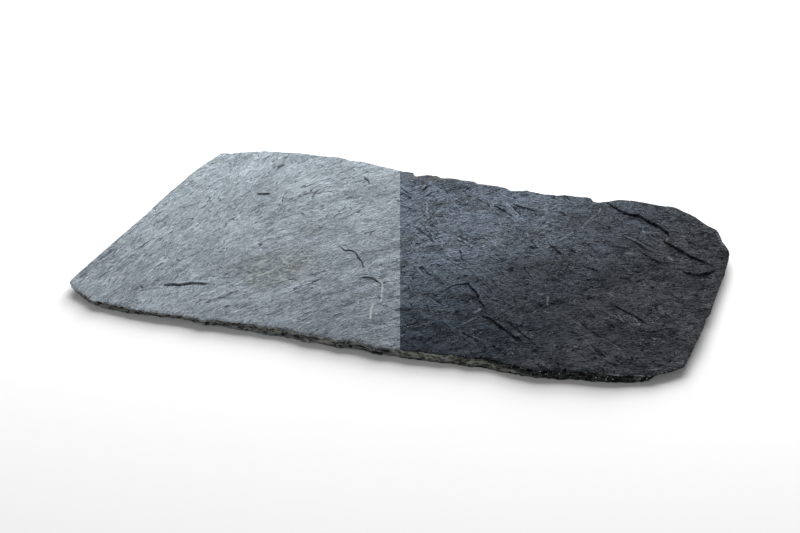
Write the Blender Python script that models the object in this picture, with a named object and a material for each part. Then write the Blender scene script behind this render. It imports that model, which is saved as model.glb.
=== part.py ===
"""Riven slate slab: one flat stone, split along its cleavage and broken to shape.

The upper face is riven, with lifted layers, ledges and creases. The rim is broken in layers and
dressed back underneath. The underside is riven too, and its high ground lies in one plane, on
which the slab rests.

Frame: metres, +X along the length, +Y across, +Z up, origin under the middle of the slab's box.
"""
import math

import bmesh
import bpy
import numpy as np
from mathutils import Vector, noise
from mathutils.geometry import delaunay_2d_cdt

NAME = "slate_slab"
MM = 0.001

# Driving dimensions, in metres.
LENGTH = 0.907
WIDTH = 0.570
THICKNESS_LEFT = 0.0128
THICKNESS_RIGHT = 0.0163

# How finely the stone is cut into facets, in metres.
FACE_PITCH = 0.0128
RIM_PITCH = 0.0105
UNDERSIDE_PITCH = 0.036
LEDGE_PITCH = 0.004
RISER_PITCH = 0.008
RISER_MARGIN = 0.003
RIM_LEVELS = (0.0, 0.28, 0.62, 1.0)

# The rim of the upper face, in millimetres, anticlockwise from the left tip. Each point is a
# break in the edge, and the edge runs smoothly from one to the next.
FRONT_EDGE = (
    (-451, -231), (-448, -240), (-440, -249.5), (-420, -259.5), (-407, -268), (-393, -275.5),
    (-376, -276), (-340, -279), (-300, -280.5), (-262, -278), (-240, -277.5), (-225, -281),
    (-208, -277), (-180, -275), (-148, -271), (-138, -274.5), (-120, -271.5), (-88, -272),
    (-78, -277), (-42, -275.5), (-28, -280), (-8, -275.5), (10, -276), (30, -280.5),
    (58, -276.5), (72, -278), (100, -274), (124, -272.5), (132, -267), (160, -269),
    (172, -264), (195, -264.5), (208, -269), (245, -272), (270, -266), (292, -260),
    (325, -257), (352, -252), (372, -244.5), (398, -236),
)
RIGHT_EDGE = (
    (404, -229), (412, -223), (419, -217.5), (426, -209.5), (434.5, -199.5), (437, -182),
    (440.5, -150), (444.5, -118), (446.5, -88), (446.8, -65), (450, -55), (451, -20),
    (453, 20), (455.5, 70), (456, 112), (454.5, 132), (448, 149), (440, 167), (434, 184),
    (426.5, 201.5), (409, 216), (396, 230), (380, 243.5), (369, 251), (360, 259.5),
)
BACK_EDGE = (
    (350, 263), (328, 261.5), (312, 262), (293, 265), (275, 264), (262, 262), (256, 257),
    (250, 250.5), (240, 248), (236, 244), (227.5, 243.5), (220.5, 252.5), (214, 255),
    (178, 254), (168, 248.5), (140, 250), (122, 248.5), (116, 251.5), (109, 246.5),
    (92, 243.5), (84, 250.5), (66, 254.5), (34, 252), (23, 259), (-12, 262.5), (-27, 259),
    (-40, 265.5), (-60, 262.5), (-73, 255), (-80, 264.5), (-102, 266), (-130, 273),
    (-168, 281), (-196, 284), (-212, 287), (-250, 290), (-283, 287.5), (-302, 286.5),
    (-330, 282.5), (-357, 276), (-370, 268), (-379, 263.5), (-390, 262), (-402, 253.5),
    (-416, 247.5),
)
LEFT_EDGE = (
    (-419, 236), (-426, 203), (-431, 170), (-435, 120), (-438, 60), (-440, 0), (-444, -80),
    (-447, -140), (-450, -200),
)

# Ledges where a layer ends: name, drop and run of the riser, how far the step is felt, and the
# line of the riser, all in millimetres. The high side is on the left, going along the line.
LEDGES = (
    ("long crease", 3.0, 2.6, 30, ((-324, -209), (-310, -202), (-296, -198), (-284, -191),
                                   (-277, -186.5), (-262, -184), (-248, -181))),
    ("crease branch", 1.0, 4.0, 24, ((-284, -181), (-277, -172), (-266, -163), (-252, -158),
                                     (-238, -157))),
    ("short crease", 2.6, 2.2, 18, ((-302, 119), (-293, 117.5), (-285, 120.5), (-277, 125))),
    ("upright crack", 1.6, 1.8, 26, ((-239, 58), (-245, 82), (-250, 101), (-256, 122),
                                     (-258, 146))),
    ("arc crack", 1.8, 1.8, 22, ((-156, 229), (-147, 221), (-140, 211), (-133, 196))),
    ("wandering crack", 1.8, 1.6, 26, ((-118, -13), (-107, -21), (-98, -28), (-88, -27),
                                       (-80, -34), (-71, -46), (-61, -60), (-56, -70),
                                       (-50, -83))),
    ("hooked ledge", 2.0, 2.0, 20, ((-55, -106), (-44, -103), (-34, -101), (-22, -106),
                                    (-12, -115))),
    ("slanting crease", 1.2, 4.0, 30, ((-247, -240), (-238, -234), (-231, -224), (-221, -213),
                                       (-212, -199), (-203, -182))),
    ("corner layer", 1.0, 5.0, 40, ((-394, 208), (-382, 222), (-376, 240), (-369, 258))),
    ("back crease", 1.8, 2.4, 22, ((104, 197), (118, 190), (130, 187), (150, 182.5))),
    ("sloping crease", 1.9, 2.2, 26, ((73, 186), (90, 176), (101, 169), (111, 157),
                                      (122, 149))),
    ("top layer", 3.4, 2.4, 50, ((222, 268), (236, 257), (248, 246), (262, 234), (273, 223),
                                 (286, 215.5), (296, 212), (303, 215), (313, 207),
                                 (325, 197), (341, 186), (353, 172), (361, 161), (359, 150),
                                 (355, 140), (366, 131), (375, 125), (386, 115), (400, 104),
                                 (415, 96), (429, 88), (440, 80), (450, 74), (462, 66))),
    ("shoulder", 3.0, 2.6, 30, ((388, 60), (397, 54), (408, 49), (416, 50), (426, 56),
                                (436, 66), (443, 80))),
    ("short ledge", 1.8, 1.8, 24, ((320, 106), (334, 93), (347, 80), (360, 71), (376, 59))),
    ("middle crack", 1.8, 1.8, 24, ((186, 87), (199, 71), (209, 59), (221, 48))),
    ("flake scar", 2.4, 2.4, 34, ((72, -120), (78, -107), (82, -94), (88, -86), (98, -82),
                                  (106, -80), (115, -90), (124, -99), (135, -121),
                                  (143, -131), (153, -146))),
    ("front ledge", 2.4, 2.2, 30, ((138, -164), (148, -161.5), (160, -163), (170, -170),
                                   (182, -181), (196, -193), (210, -204), (224, -218))),
    ("front ledge, upper", 1.7, 1.8, 20, ((172, -163), (185, -165), (193, -171), (205, -183),
                                          (218, -197), (230, -208), (239, -217))),
    ("right crack", 1.7, 1.8, 24, ((303, -66), (320, -77), (340, -90), (355, -100),
                                   (369, -110), (378, -120))),
)

# A ledge fades out over this share of its length at either end.
LEDGE_FADE = 0.22

# The noise that each part of the shape starts from.
SWELL_SEED, RIDGE_SEED, CHIP_SEED, UNDERCUT_SEED = 3.1, 11.0, 5.0, 7.0
LAYER_SEED, LAYER_SEED_STEP, SCAR_SEED = 40.0, 9.0, 23.0
FACE_SEED, UNDERSIDE_SEED = 1, 2

# The broad shape of the upper face, in millimetres: where it thickens towards the right, its
# slow swell and its ridges, how much of them is left at the front edge, and the chipped corner.
THICKEN_FROM, THICKEN_OVER = -450.0, 560.0
WAVE_HEIGHT, WAVE_LENGTHS, WAVE_STARTS = 0.7, (118.0, 150.0), (0.6, -0.4)
SWELL_HEIGHT, SWELL_SIZE, SWELL_ANGLE = 0.9, (110.0, 170.0), 60.0
RIDGE_HEIGHT, RIDGE_SIZE = 1.6, (25.0, 60.0)
FRONT_LEVEL, FRONT_LEVEL_OVER = -262.0, 70.0
SWELL_LEFT, RIDGES_LEFT = 0.25, 0.4
CORNER, CORNER_DEPTH, CORNER_REACH = (415.0, -225.0), 6.0, 110.0
EDGE_DROP = 0.5

# How far the rim is dressed back under the front edge, at places along the length, and
# elsewhere, in millimetres.
FRONT_UNDERCUT = ((-450, 8), (-430, 7), (-418, 5), (-405, 4.5), (-393, 7), (-376, 5),
                  (-340, 5), (-325, 8), (-300, 10), (-270, 11), (-240, 9), (-222, 8),
                  (-196, 8), (-180, 5), (-160, 2), (-100, 0.5), (-74, 4), (-20, 4), (32, 5),
                  (95, 4.5), (116, 3), (132, 0), (165, 0), (195, -2.5), (214, 1), (245, 3.5),
                  (262, 2), (280, -1), (305, 2), (340, 2.5), (385, 2), (398, 7), (410, 20),
                  (435, 22))
UNDERCUT = 9.0
FRONT_LIMIT = -190.0
UNDERCUT_WAVER, UNDERCUT_WAVER_SIZE = 0.8, 28.0

# How uneven the rim is, in millimetres: chips in its edge, and layers that stand out below it.
CHIP_HEIGHT, CHIP_SIZE = 0.9, 16.0
LAYER_HEIGHT, LAYER_SIZE = 1.3, 22.0
RIM_SMOOTHING = 15.0
RIM_CURVE = 1.25

# The underside: its flake scars, and the flat middle that they leave, in millimetres. A scar
# begins where its noise passes a level, and the flat ground ends over a share of its reach.
SCAR_DEPTH, SCAR_SIZE, SCAR_ANGLE = 1.6, (70.0, 120.0), 35.0
SCAR_LEVEL, SCAR_EDGE = 0.05, 0.12
FLAT_REACH, FLAT_FADE = (260.0, 130.0), 0.25

# The cleavage grain: its angle from +X in degrees, where along the length it rules, in
# millimetres, and how much longer its ridges are there.
GRAIN = ((80, -400, 2.0), (60, -140, 1.5), (42, 110, 0.9), (28, 370, 0.8))
GRAIN_REACH = 150.0

# The scattered points of a face: the sheet they are taken from, in millimetres, and how far each
# is shaken out of its row, as a share of the pitch. They keep this share off the rim and lines.
SHEET = (470.0, 300.0)
SHAKE = 0.16
RIM_GAP, LINE_GAP = 0.55, 0.5
FAR = 1e9


def smooth_step(value):
    """0 below 0, 1 above 1, and an even curve between."""
    value = np.clip(value, 0.0, 1.0)
    return value * value * (3.0 - 2.0 * value)


def smooth_line(points, pitch, closed=False, tension=0.32):
    """A curve through the points, with a vertex about every pitch and one at every point."""
    points = [Vector(point) for point in points]
    count = len(points)
    line = []
    for index in range(count if closed else count - 1):
        if closed:
            before, start, end, after = (points[(index + step) % count] for step in (-1, 0, 1, 2))
        else:
            start, end = points[index], points[index + 1]
            before = points[index - 1] if index else start * 2 - end
            after = points[index + 2] if index + 2 < count else end * 2 - start
        leave, arrive = (end - before) * tension, (after - start) * tension
        steps = max(1, round((end - start).length / pitch))
        for step in range(steps):
            t = step / steps
            line.append(start * (2 * t**3 - 3 * t**2 + 1) + leave * (t**3 - 2 * t**2 + t)
                        + end * (3 * t**2 - 2 * t**3) + arrive * (t**3 - t**2))
    if not closed:
        line.append(points[-1])
    return np.array([tuple(point) for point in line])


def outward(loop, reach=1):
    """Unit vectors that point out of an anticlockwise loop, in plan."""
    along = np.roll(loop, -reach, axis=0) - np.roll(loop, reach, axis=0)
    normal = np.stack((along[:, 1], -along[:, 0]), axis=1)
    return normal / np.linalg.norm(normal, axis=1, keepdims=True)


def averaged(loop, reach):
    """The loop smoothed over a number of vertices each way."""
    weights = np.hanning(2 * reach + 3)[1:-1]
    shifts = range(-reach, reach + 1)
    total = sum(weight * np.roll(loop, shift, axis=0) for weight, shift in zip(weights, shifts))
    return total / weights.sum()


def bumps(points, across, along, seed, angle=0.0):
    """Smooth noise from -1 to 1 at each point, stretched along an angle in degrees."""
    turn = math.radians(angle)
    u = (points[:, 0] * math.cos(turn) + points[:, 1] * math.sin(turn)) / along
    v = (points[:, 1] * math.cos(turn) - points[:, 0] * math.sin(turn)) / across
    return np.array([noise.noise(Vector((a, b, seed))) for a, b in zip(u, v)])


def grain_ridges(points, across, along, seed):
    """Ridges that follow the cleavage grain, which leans over from the left end to the right."""
    total = np.zeros(len(points))
    power = np.zeros(len(points))
    for angle, centre, longer in GRAIN:
        weight = np.exp(-((points[:, 0] - centre) / GRAIN_REACH) ** 2)
        total += weight * bumps(points, across, along * longer, seed + angle, angle)
        power += weight ** 2
    return total / np.sqrt(power)


def step_of_ledge(points, ledge):
    """The height that one ledge adds or takes away at each point."""
    _, drop, run, reach, line = ledge
    line = smooth_line(line, LEDGE_PITCH / MM)
    nearest = np.full(len(points), FAR)
    side = np.zeros(len(points))
    place = np.zeros(len(points))
    for index, (start, end) in enumerate(zip(line[:-1], line[1:])):
        along = end - start
        offset = points - start
        share = np.clip(offset @ along / (along @ along), 0.0, 1.0)
        distance = np.linalg.norm(offset - share[:, None] * along, axis=1)
        closer = distance < nearest
        cross = along[0] * offset[:, 1] - along[1] * offset[:, 0]
        nearest = np.where(closer, distance, nearest)
        side = np.where(closer, np.sign(cross), side)
        place = np.where(closer, (index + share) / (len(line) - 1), place)
    taper = smooth_step(place / LEDGE_FADE) * smooth_step((1.0 - place) / LEDGE_FADE)
    riser = np.clip(side * nearest / (run / 2), -1.0, 1.0)
    return 0.5 * drop * taper * riser * np.exp(-nearest / reach)


def face_height(points):
    """Height of the upper face above the plane that the slab rests on, in millimetres."""
    x, y = points[:, 0], points[:, 1]
    share = smooth_step((x - THICKEN_FROM) / THICKEN_OVER)
    height = (THICKNESS_LEFT + (THICKNESS_RIGHT - THICKNESS_LEFT) * share) / MM
    level = smooth_step((y - FRONT_LEVEL) / FRONT_LEVEL_OVER)
    wave = np.sin(x / WAVE_LENGTHS[0] + WAVE_STARTS[0])
    wave = wave * np.cos(y / WAVE_LENGTHS[1] + WAVE_STARTS[1])
    swell = WAVE_HEIGHT * wave
    swell = swell + SWELL_HEIGHT * bumps(points, *SWELL_SIZE, SWELL_SEED, SWELL_ANGLE)
    height = height + swell * (SWELL_LEFT + (1.0 - SWELL_LEFT) * level)
    ridges = RIDGE_HEIGHT * grain_ridges(points, *RIDGE_SIZE, RIDGE_SEED)
    height = height + ridges * (RIDGES_LEFT + (1.0 - RIDGES_LEFT) * level)
    from_corner = np.hypot(x - CORNER[0], y - CORNER[1])
    height = height - CORNER_DEPTH * smooth_step(1.0 - from_corner / CORNER_REACH)
    for ledge in LEDGES:
        height = height + step_of_ledge(points, ledge)
    return height


def underside_height(points):
    """Flake scars on the underside, in millimetres: the middle of it is left flat."""
    x, y = points[:, 0], points[:, 1]
    away = np.hypot(x / FLAT_REACH[0], y / FLAT_REACH[1])
    scar = bumps(points, *SCAR_SIZE, SCAR_SEED, SCAR_ANGLE)
    scar = smooth_step((scar - SCAR_LEVEL) / SCAR_EDGE)
    return SCAR_DEPTH * scar * smooth_step((away - 1.0) / FLAT_FADE)


def rim_rings(pitch):
    """The rings of the broken rim, from the edge of the upper face down to the underside."""
    edge = smooth_line(FRONT_EDGE + RIGHT_EDGE + BACK_EDGE + LEFT_EDGE, pitch, closed=True)
    chips = CHIP_HEIGHT * bumps(edge, CHIP_SIZE, CHIP_SIZE, CHIP_SEED)
    edge = edge + outward(edge) * chips[:, None]
    smoothing = round(RIM_SMOOTHING / pitch)
    inner = averaged(edge, smoothing)
    inward = -averaged(outward(inner), smoothing)
    front = np.interp(edge[:, 0], *zip(*FRONT_UNDERCUT))
    undercut = np.where(edge[:, 1] < FRONT_LIMIT, front, UNDERCUT)
    undercut = averaged(undercut[:, None], smoothing)[:, 0]
    waver = bumps(edge, UNDERCUT_WAVER_SIZE, UNDERCUT_WAVER_SIZE, UNDERCUT_SEED)
    undercut = undercut + UNDERCUT_WAVER * waver
    top = face_height(edge) - EDGE_DROP
    rings = []
    for level in RIM_LEVELS:
        slope = level ** RIM_CURVE
        plan = edge * (1.0 - slope) + inner * slope + inward * (undercut * slope)[:, None]
        layers = bumps(edge, LAYER_SIZE, LAYER_SIZE, LAYER_SEED + LAYER_SEED_STEP * level)
        bulge = LAYER_HEIGHT * math.sin(math.pi * level) * layers
        plan = plan - inward * bulge[:, None]
        rings.append(np.column_stack((plan, top * (1.0 - level))))
    return rings


def inside(points, loop, margin):
    """Which points lie inside a loop, at least a margin away from its line."""
    result = np.zeros(len(points), dtype=bool)
    nearest = np.full(len(points), FAR)
    for start, end in zip(loop, np.roll(loop, -1, axis=0)):
        along = end - start
        offset = points - start
        share = np.clip(offset @ along / (along @ along), 0.0, 1.0)
        nearest = np.minimum(nearest, np.linalg.norm(offset - share[:, None] * along, axis=1))
        spans = (start[1] > points[:, 1]) != (end[1] > points[:, 1])
        rise = end[1] - start[1] or 1e-12
        result ^= spans & (points[:, 0] < start[0] + along[0] * (points[:, 1] - start[1]) / rise)
    return result & (nearest > margin)


def away_from(points, lines, margin):
    """Which points keep a margin to every vertex of some lines."""
    clear = np.ones(len(points), dtype=bool)
    for line in lines:
        for vertex in line:
            clear &= np.linalg.norm(points - vertex, axis=1) > margin
    return clear


def scattered(pitch, seed):
    """A triangular lattice over the slab's box, with each point a little out of its row."""
    rows = np.arange(-SHEET[1], SHEET[1], pitch * math.sqrt(0.75))
    columns = np.arange(-SHEET[0], SHEET[0], pitch)
    x, y = np.meshgrid(columns, rows)
    x = x + np.where(np.arange(len(rows)) % 2, pitch / 2, 0.0)[:, None]
    shake = np.random.default_rng(seed).uniform(-SHAKE, SHAKE, (2,) + x.shape) * pitch
    return np.column_stack(((x + shake[0]).ravel(), (y + shake[1]).ravel()))


def riser_lines(loop, pitch):
    """The crest and the foot of each ledge's riser, kept inside the rim."""
    lines = []
    for _, _, run, _, points in LEDGES:
        middle = smooth_line(points, pitch)
        along = np.gradient(middle, axis=0)
        left = np.stack((-along[:, 1], along[:, 0]), axis=1)
        left /= np.linalg.norm(left, axis=1, keepdims=True)
        for side in (-0.5, 0.5):
            line = middle + left * side * run
            line = line[inside(line, loop, RISER_MARGIN / MM)]
            if len(line) > 1:
                lines.append(line)
    return lines


def sheet(loop, pitch, seed, lines=()):
    """Triangles that fill a loop, with edges along some lines: plan points and faces."""
    points = scattered(pitch, seed)
    points = points[inside(points, loop, pitch * RIM_GAP)]
    if len(lines):
        points = points[away_from(points, lines, pitch * LINE_GAP)]
    vertices = [loop] + list(lines) + [points]
    edges = []
    first = len(loop)
    for line in lines:
        edges += [(first + index, first + index + 1) for index in range(len(line) - 1)]
        first += len(line)
    flat = [Vector(point) for point in np.concatenate(vertices)]
    found, _, faces, _, _, _ = delaunay_2d_cdt(flat, edges, [range(len(loop))], 1, 1e-6, False)
    plan = np.array([tuple(point) for point in found])
    faces = np.array(faces)
    return plan, faces[inside(plan[faces].mean(axis=1), loop, 0.0)]


def boxed(points):
    """The size and the middle of some points, in plan."""
    low, high = points[:, :2].min(axis=0), points[:, :2].max(axis=0)
    return high - low, (high + low) / 2


def add_faces(mesh, points, faces, flip=False):
    """Add points, in metres, and the faces on them to a mesh."""
    vertices = [mesh.verts.new(point) for point in points]
    for face in faces:
        corners = [vertices[index] for index in face]
        mesh.faces.new(reversed(corners) if flip else corners)


def build_slab():
    """The slab as one closed mesh."""
    rings = rim_rings(RIM_PITCH / MM)
    size, middle = boxed(np.concatenate(rings))
    to_metres = np.array((LENGTH / size[0], WIDTH / size[1], MM))
    shift = np.array((middle[0], middle[1], 0.0))

    mesh = bmesh.new()
    edge, foot = rings[0][:, :2], rings[-1][:, :2]
    lines = riser_lines(edge, RISER_PITCH / MM)
    plan, faces = sheet(edge, FACE_PITCH / MM, FACE_SEED, lines)
    height = face_height(plan)
    height[:len(edge)] = rings[0][:, 2]
    add_faces(mesh, (np.column_stack((plan, height)) - shift) * to_metres, faces)

    plan, faces = sheet(foot, UNDERSIDE_PITCH / MM, UNDERSIDE_SEED)
    height = underside_height(plan)
    height[:len(foot)] = 0.0
    add_faces(mesh, (np.column_stack((plan, height)) - shift) * to_metres, faces, flip=True)

    count = len(edge)
    wall = []
    for level in range(len(rings) - 1):
        for index in range(count):
            after = (index + 1) % count
            upper, lower = level * count, (level + 1) * count
            wall.append((lower + index, lower + after, upper + after, upper + index))
    add_faces(mesh, (np.concatenate(rings) - shift) * to_metres, wall)
    bmesh.ops.remove_doubles(mesh, verts=mesh.verts, dist=1e-6)
    bmesh.ops.triangulate(mesh, faces=mesh.faces)
    bmesh.ops.recalc_face_normals(mesh, faces=mesh.faces)
    return mesh


def slate_material():
    """Dry blue-grey slate."""
    material = bpy.data.materials.new("slate")
    material.use_nodes = True
    shader = material.node_tree.nodes["Principled BSDF"]
    shader.inputs["Base Color"].default_value = (0.19, 0.22, 0.25, 1.0)
    shader.inputs["Roughness"].default_value = 0.7
    shader.inputs["Metallic"].default_value = 0.0
    return material


def main():
    for existing in list(bpy.data.objects):
        bpy.data.objects.remove(existing, do_unlink=True)
    collection = bpy.data.collections.new("slate slab")
    bpy.context.scene.collection.children.link(collection)
    data = bpy.data.meshes.new(NAME)
    mesh = build_slab()
    mesh.to_mesh(data)
    mesh.free()
    data.materials.append(slate_material())
    slab = bpy.data.objects.new(NAME, data)
    collection.objects.link(slab)


main()
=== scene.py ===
"""Riven slate slab, dry and pale on one half, wet and dark on the other.

Laid out as a Blender add-on: the slab and the stage are each made by an operator, and their sizes
and colours are properties. Lengths are in metres, and the listed lines are in millimetres.
"""
import math

import bpy
import numpy as np
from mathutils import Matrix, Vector, noise
from mathutils.geometry import delaunay_2d_cdt


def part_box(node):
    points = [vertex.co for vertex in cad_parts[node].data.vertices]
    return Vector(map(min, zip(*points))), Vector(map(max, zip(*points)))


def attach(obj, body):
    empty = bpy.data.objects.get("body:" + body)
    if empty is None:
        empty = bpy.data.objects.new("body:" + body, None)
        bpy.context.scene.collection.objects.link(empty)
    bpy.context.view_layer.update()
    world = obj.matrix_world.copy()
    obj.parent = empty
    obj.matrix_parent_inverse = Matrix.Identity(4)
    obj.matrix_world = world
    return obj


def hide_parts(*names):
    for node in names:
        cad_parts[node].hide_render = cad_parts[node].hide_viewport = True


bl_info = {
    "name": "Slate slab",
    "version": (1, 0, 0),
    "blender": (4, 5, 0),
    "location": "3D View > Sidebar > Slate",
    "description": "Builds a riven slate slab and a pale studio stage around it",
    "category": "Add Mesh",
}

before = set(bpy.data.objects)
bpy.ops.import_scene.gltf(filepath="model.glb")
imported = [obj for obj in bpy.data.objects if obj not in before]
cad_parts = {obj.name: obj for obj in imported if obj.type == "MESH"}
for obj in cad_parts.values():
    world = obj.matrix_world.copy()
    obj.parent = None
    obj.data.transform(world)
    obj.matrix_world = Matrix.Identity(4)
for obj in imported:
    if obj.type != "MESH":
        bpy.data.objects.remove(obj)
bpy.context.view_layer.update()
NODE = "slate_slab"
PIECE = "riven_slate_slab"
BODY = "root"
MM = 0.001
BOX_LOW, BOX_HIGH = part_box(NODE)

# ---------------------------------------------------------------------------------------------
# The stone's lines, in millimetres from the middle of the slab.
# ---------------------------------------------------------------------------------------------

# The rim of the upper face, anticlockwise from the left tip. Each point is a break in the edge.
FRONT_EDGE = (
    (-451, -231), (-448, -240), (-440, -249.5), (-420, -259.5), (-407, -268), (-393, -275.5),
    (-376, -276), (-340, -279), (-300, -280.5), (-262, -278), (-240, -277.5), (-225, -281),
    (-208, -277), (-180, -275), (-148, -271), (-138, -274.5), (-120, -271.5), (-88, -272),
    (-78, -277), (-42, -275.5), (-28, -280), (-8, -275.5), (10, -276), (30, -280.5),
    (58, -276.5), (72, -278), (100, -274), (124, -272.5), (132, -267), (160, -269),
    (172, -264), (195, -264.5), (208, -269), (245, -272), (270, -266), (292, -260),
    (325, -257), (352, -252), (372, -244.5), (398, -236),
)
RIGHT_EDGE = (
    (404, -229), (412, -223), (419, -217.5), (426, -209.5), (434.5, -199.5), (437, -182),
    (440.5, -150), (444.5, -118), (446.5, -88), (446.8, -65), (450, -55), (451, -20),
    (453, 20), (455.5, 70), (456, 112), (454.5, 132), (448, 149), (440, 167), (434, 184),
    (426.5, 201.5), (409, 216), (396, 230), (380, 243.5), (369, 251), (360, 259.5),
)
BACK_EDGE = (
    (350, 263), (328, 261.5), (312, 262), (293, 265), (275, 264), (262, 262), (256, 257),
    (250, 250.5), (240, 248), (236, 244), (227.5, 243.5), (220.5, 252.5), (214, 255),
    (178, 254), (168, 248.5), (140, 250), (122, 248.5), (116, 251.5), (109, 246.5),
    (92, 243.5), (84, 250.5), (66, 254.5), (34, 252), (23, 259), (-12, 262.5), (-27, 259),
    (-40, 265.5), (-60, 262.5), (-73, 255), (-80, 264.5), (-102, 266), (-130, 273),
    (-168, 281), (-196, 284), (-212, 287), (-250, 290), (-283, 287.5), (-302, 286.5),
    (-330, 282.5), (-357, 276), (-370, 268), (-379, 263.5), (-390, 262), (-402, 253.5),
    (-416, 247.5),
)
LEFT_EDGE = (
    (-419, 236), (-426, 203), (-431, 170), (-435, 120), (-438, 60), (-440, 0), (-444, -80),
    (-447, -140), (-450, -200),
)

# Ledges where a layer ends: name, drop and run of the riser, how far the step is felt, and the
# line of the riser. The high side is on the left, going along the line.
LEDGES = (
    ("long crease", 3.0, 2.6, 30, (
        (-324, -209), (-310, -202), (-296, -198), (-284, -191), (-277, -186.5), (-262, -184),
        (-248, -181))),
    ("crease branch", 1.0, 4.0, 24, (
        (-284, -181), (-277, -172), (-266, -163), (-252, -158), (-238, -157))),
    ("short crease", 2.6, 2.2, 18, ((-302, 119), (-293, 117.5), (-285, 120.5), (-277, 125))),
    ("upright crack", 1.6, 1.8, 26, (
        (-239, 58), (-245, 82), (-250, 101), (-256, 122), (-258, 146))),
    ("arc crack", 1.8, 1.8, 22, ((-156, 229), (-147, 221), (-140, 211), (-133, 196))),
    ("wandering crack", 1.8, 1.6, 26, (
        (-118, -13), (-107, -21), (-98, -28), (-88, -27), (-80, -34), (-71, -46), (-61, -60),
        (-56, -70), (-50, -83))),
    ("hooked ledge", 2.0, 2.0, 20, (
        (-55, -106), (-44, -103), (-34, -101), (-22, -106), (-12, -115))),
    ("slanting crease", 1.2, 4.0, 30, (
        (-247, -240), (-238, -234), (-231, -224), (-221, -213), (-212, -199), (-203, -182))),
    ("corner layer", 1.0, 5.0, 40, ((-394, 208), (-382, 222), (-376, 240), (-369, 258))),
    ("back crease", 1.8, 2.4, 22, ((104, 197), (118, 190), (130, 187), (150, 182.5))),
    ("sloping crease", 1.9, 2.2, 26, ((73, 186), (90, 176), (101, 169), (111, 157), (122, 149))),
    ("top layer", 3.4, 2.4, 50, (
        (222, 268), (236, 257), (248, 246), (262, 234), (273, 223), (286, 215.5), (296, 212),
        (303, 215), (313, 207), (325, 197), (341, 186), (353, 172), (361, 161), (359, 150),
        (355, 140), (366, 131), (375, 125), (386, 115), (400, 104), (415, 96), (429, 88),
        (440, 80), (450, 74), (462, 66))),
    ("shoulder", 3.0, 2.6, 30, (
        (388, 60), (397, 54), (408, 49), (416, 50), (426, 56), (436, 66), (443, 80))),
    ("short ledge", 1.8, 1.8, 24, ((320, 106), (334, 93), (347, 80), (360, 71), (376, 59))),
    ("middle crack", 1.8, 1.8, 24, ((186, 87), (199, 71), (209, 59), (221, 48))),
    ("flake scar", 2.4, 2.4, 34, (
        (72, -120), (78, -107), (82, -94), (88, -86), (98, -82), (106, -80), (115, -90),
        (124, -99), (135, -121), (143, -131), (153, -146))),
    ("front ledge", 2.4, 2.2, 30, (
        (138, -164), (148, -161.5), (160, -163), (170, -170), (182, -181), (196, -193),
        (210, -204), (224, -218))),
    ("front ledge, upper", 1.7, 1.8, 20, (
        (172, -163), (185, -165), (193, -171), (205, -183), (218, -197), (230, -208),
        (239, -217))),
    ("right crack", 1.7, 1.8, 24, (
        (303, -66), (320, -77), (340, -90), (355, -100), (369, -110), (378, -120))),
)
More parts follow.
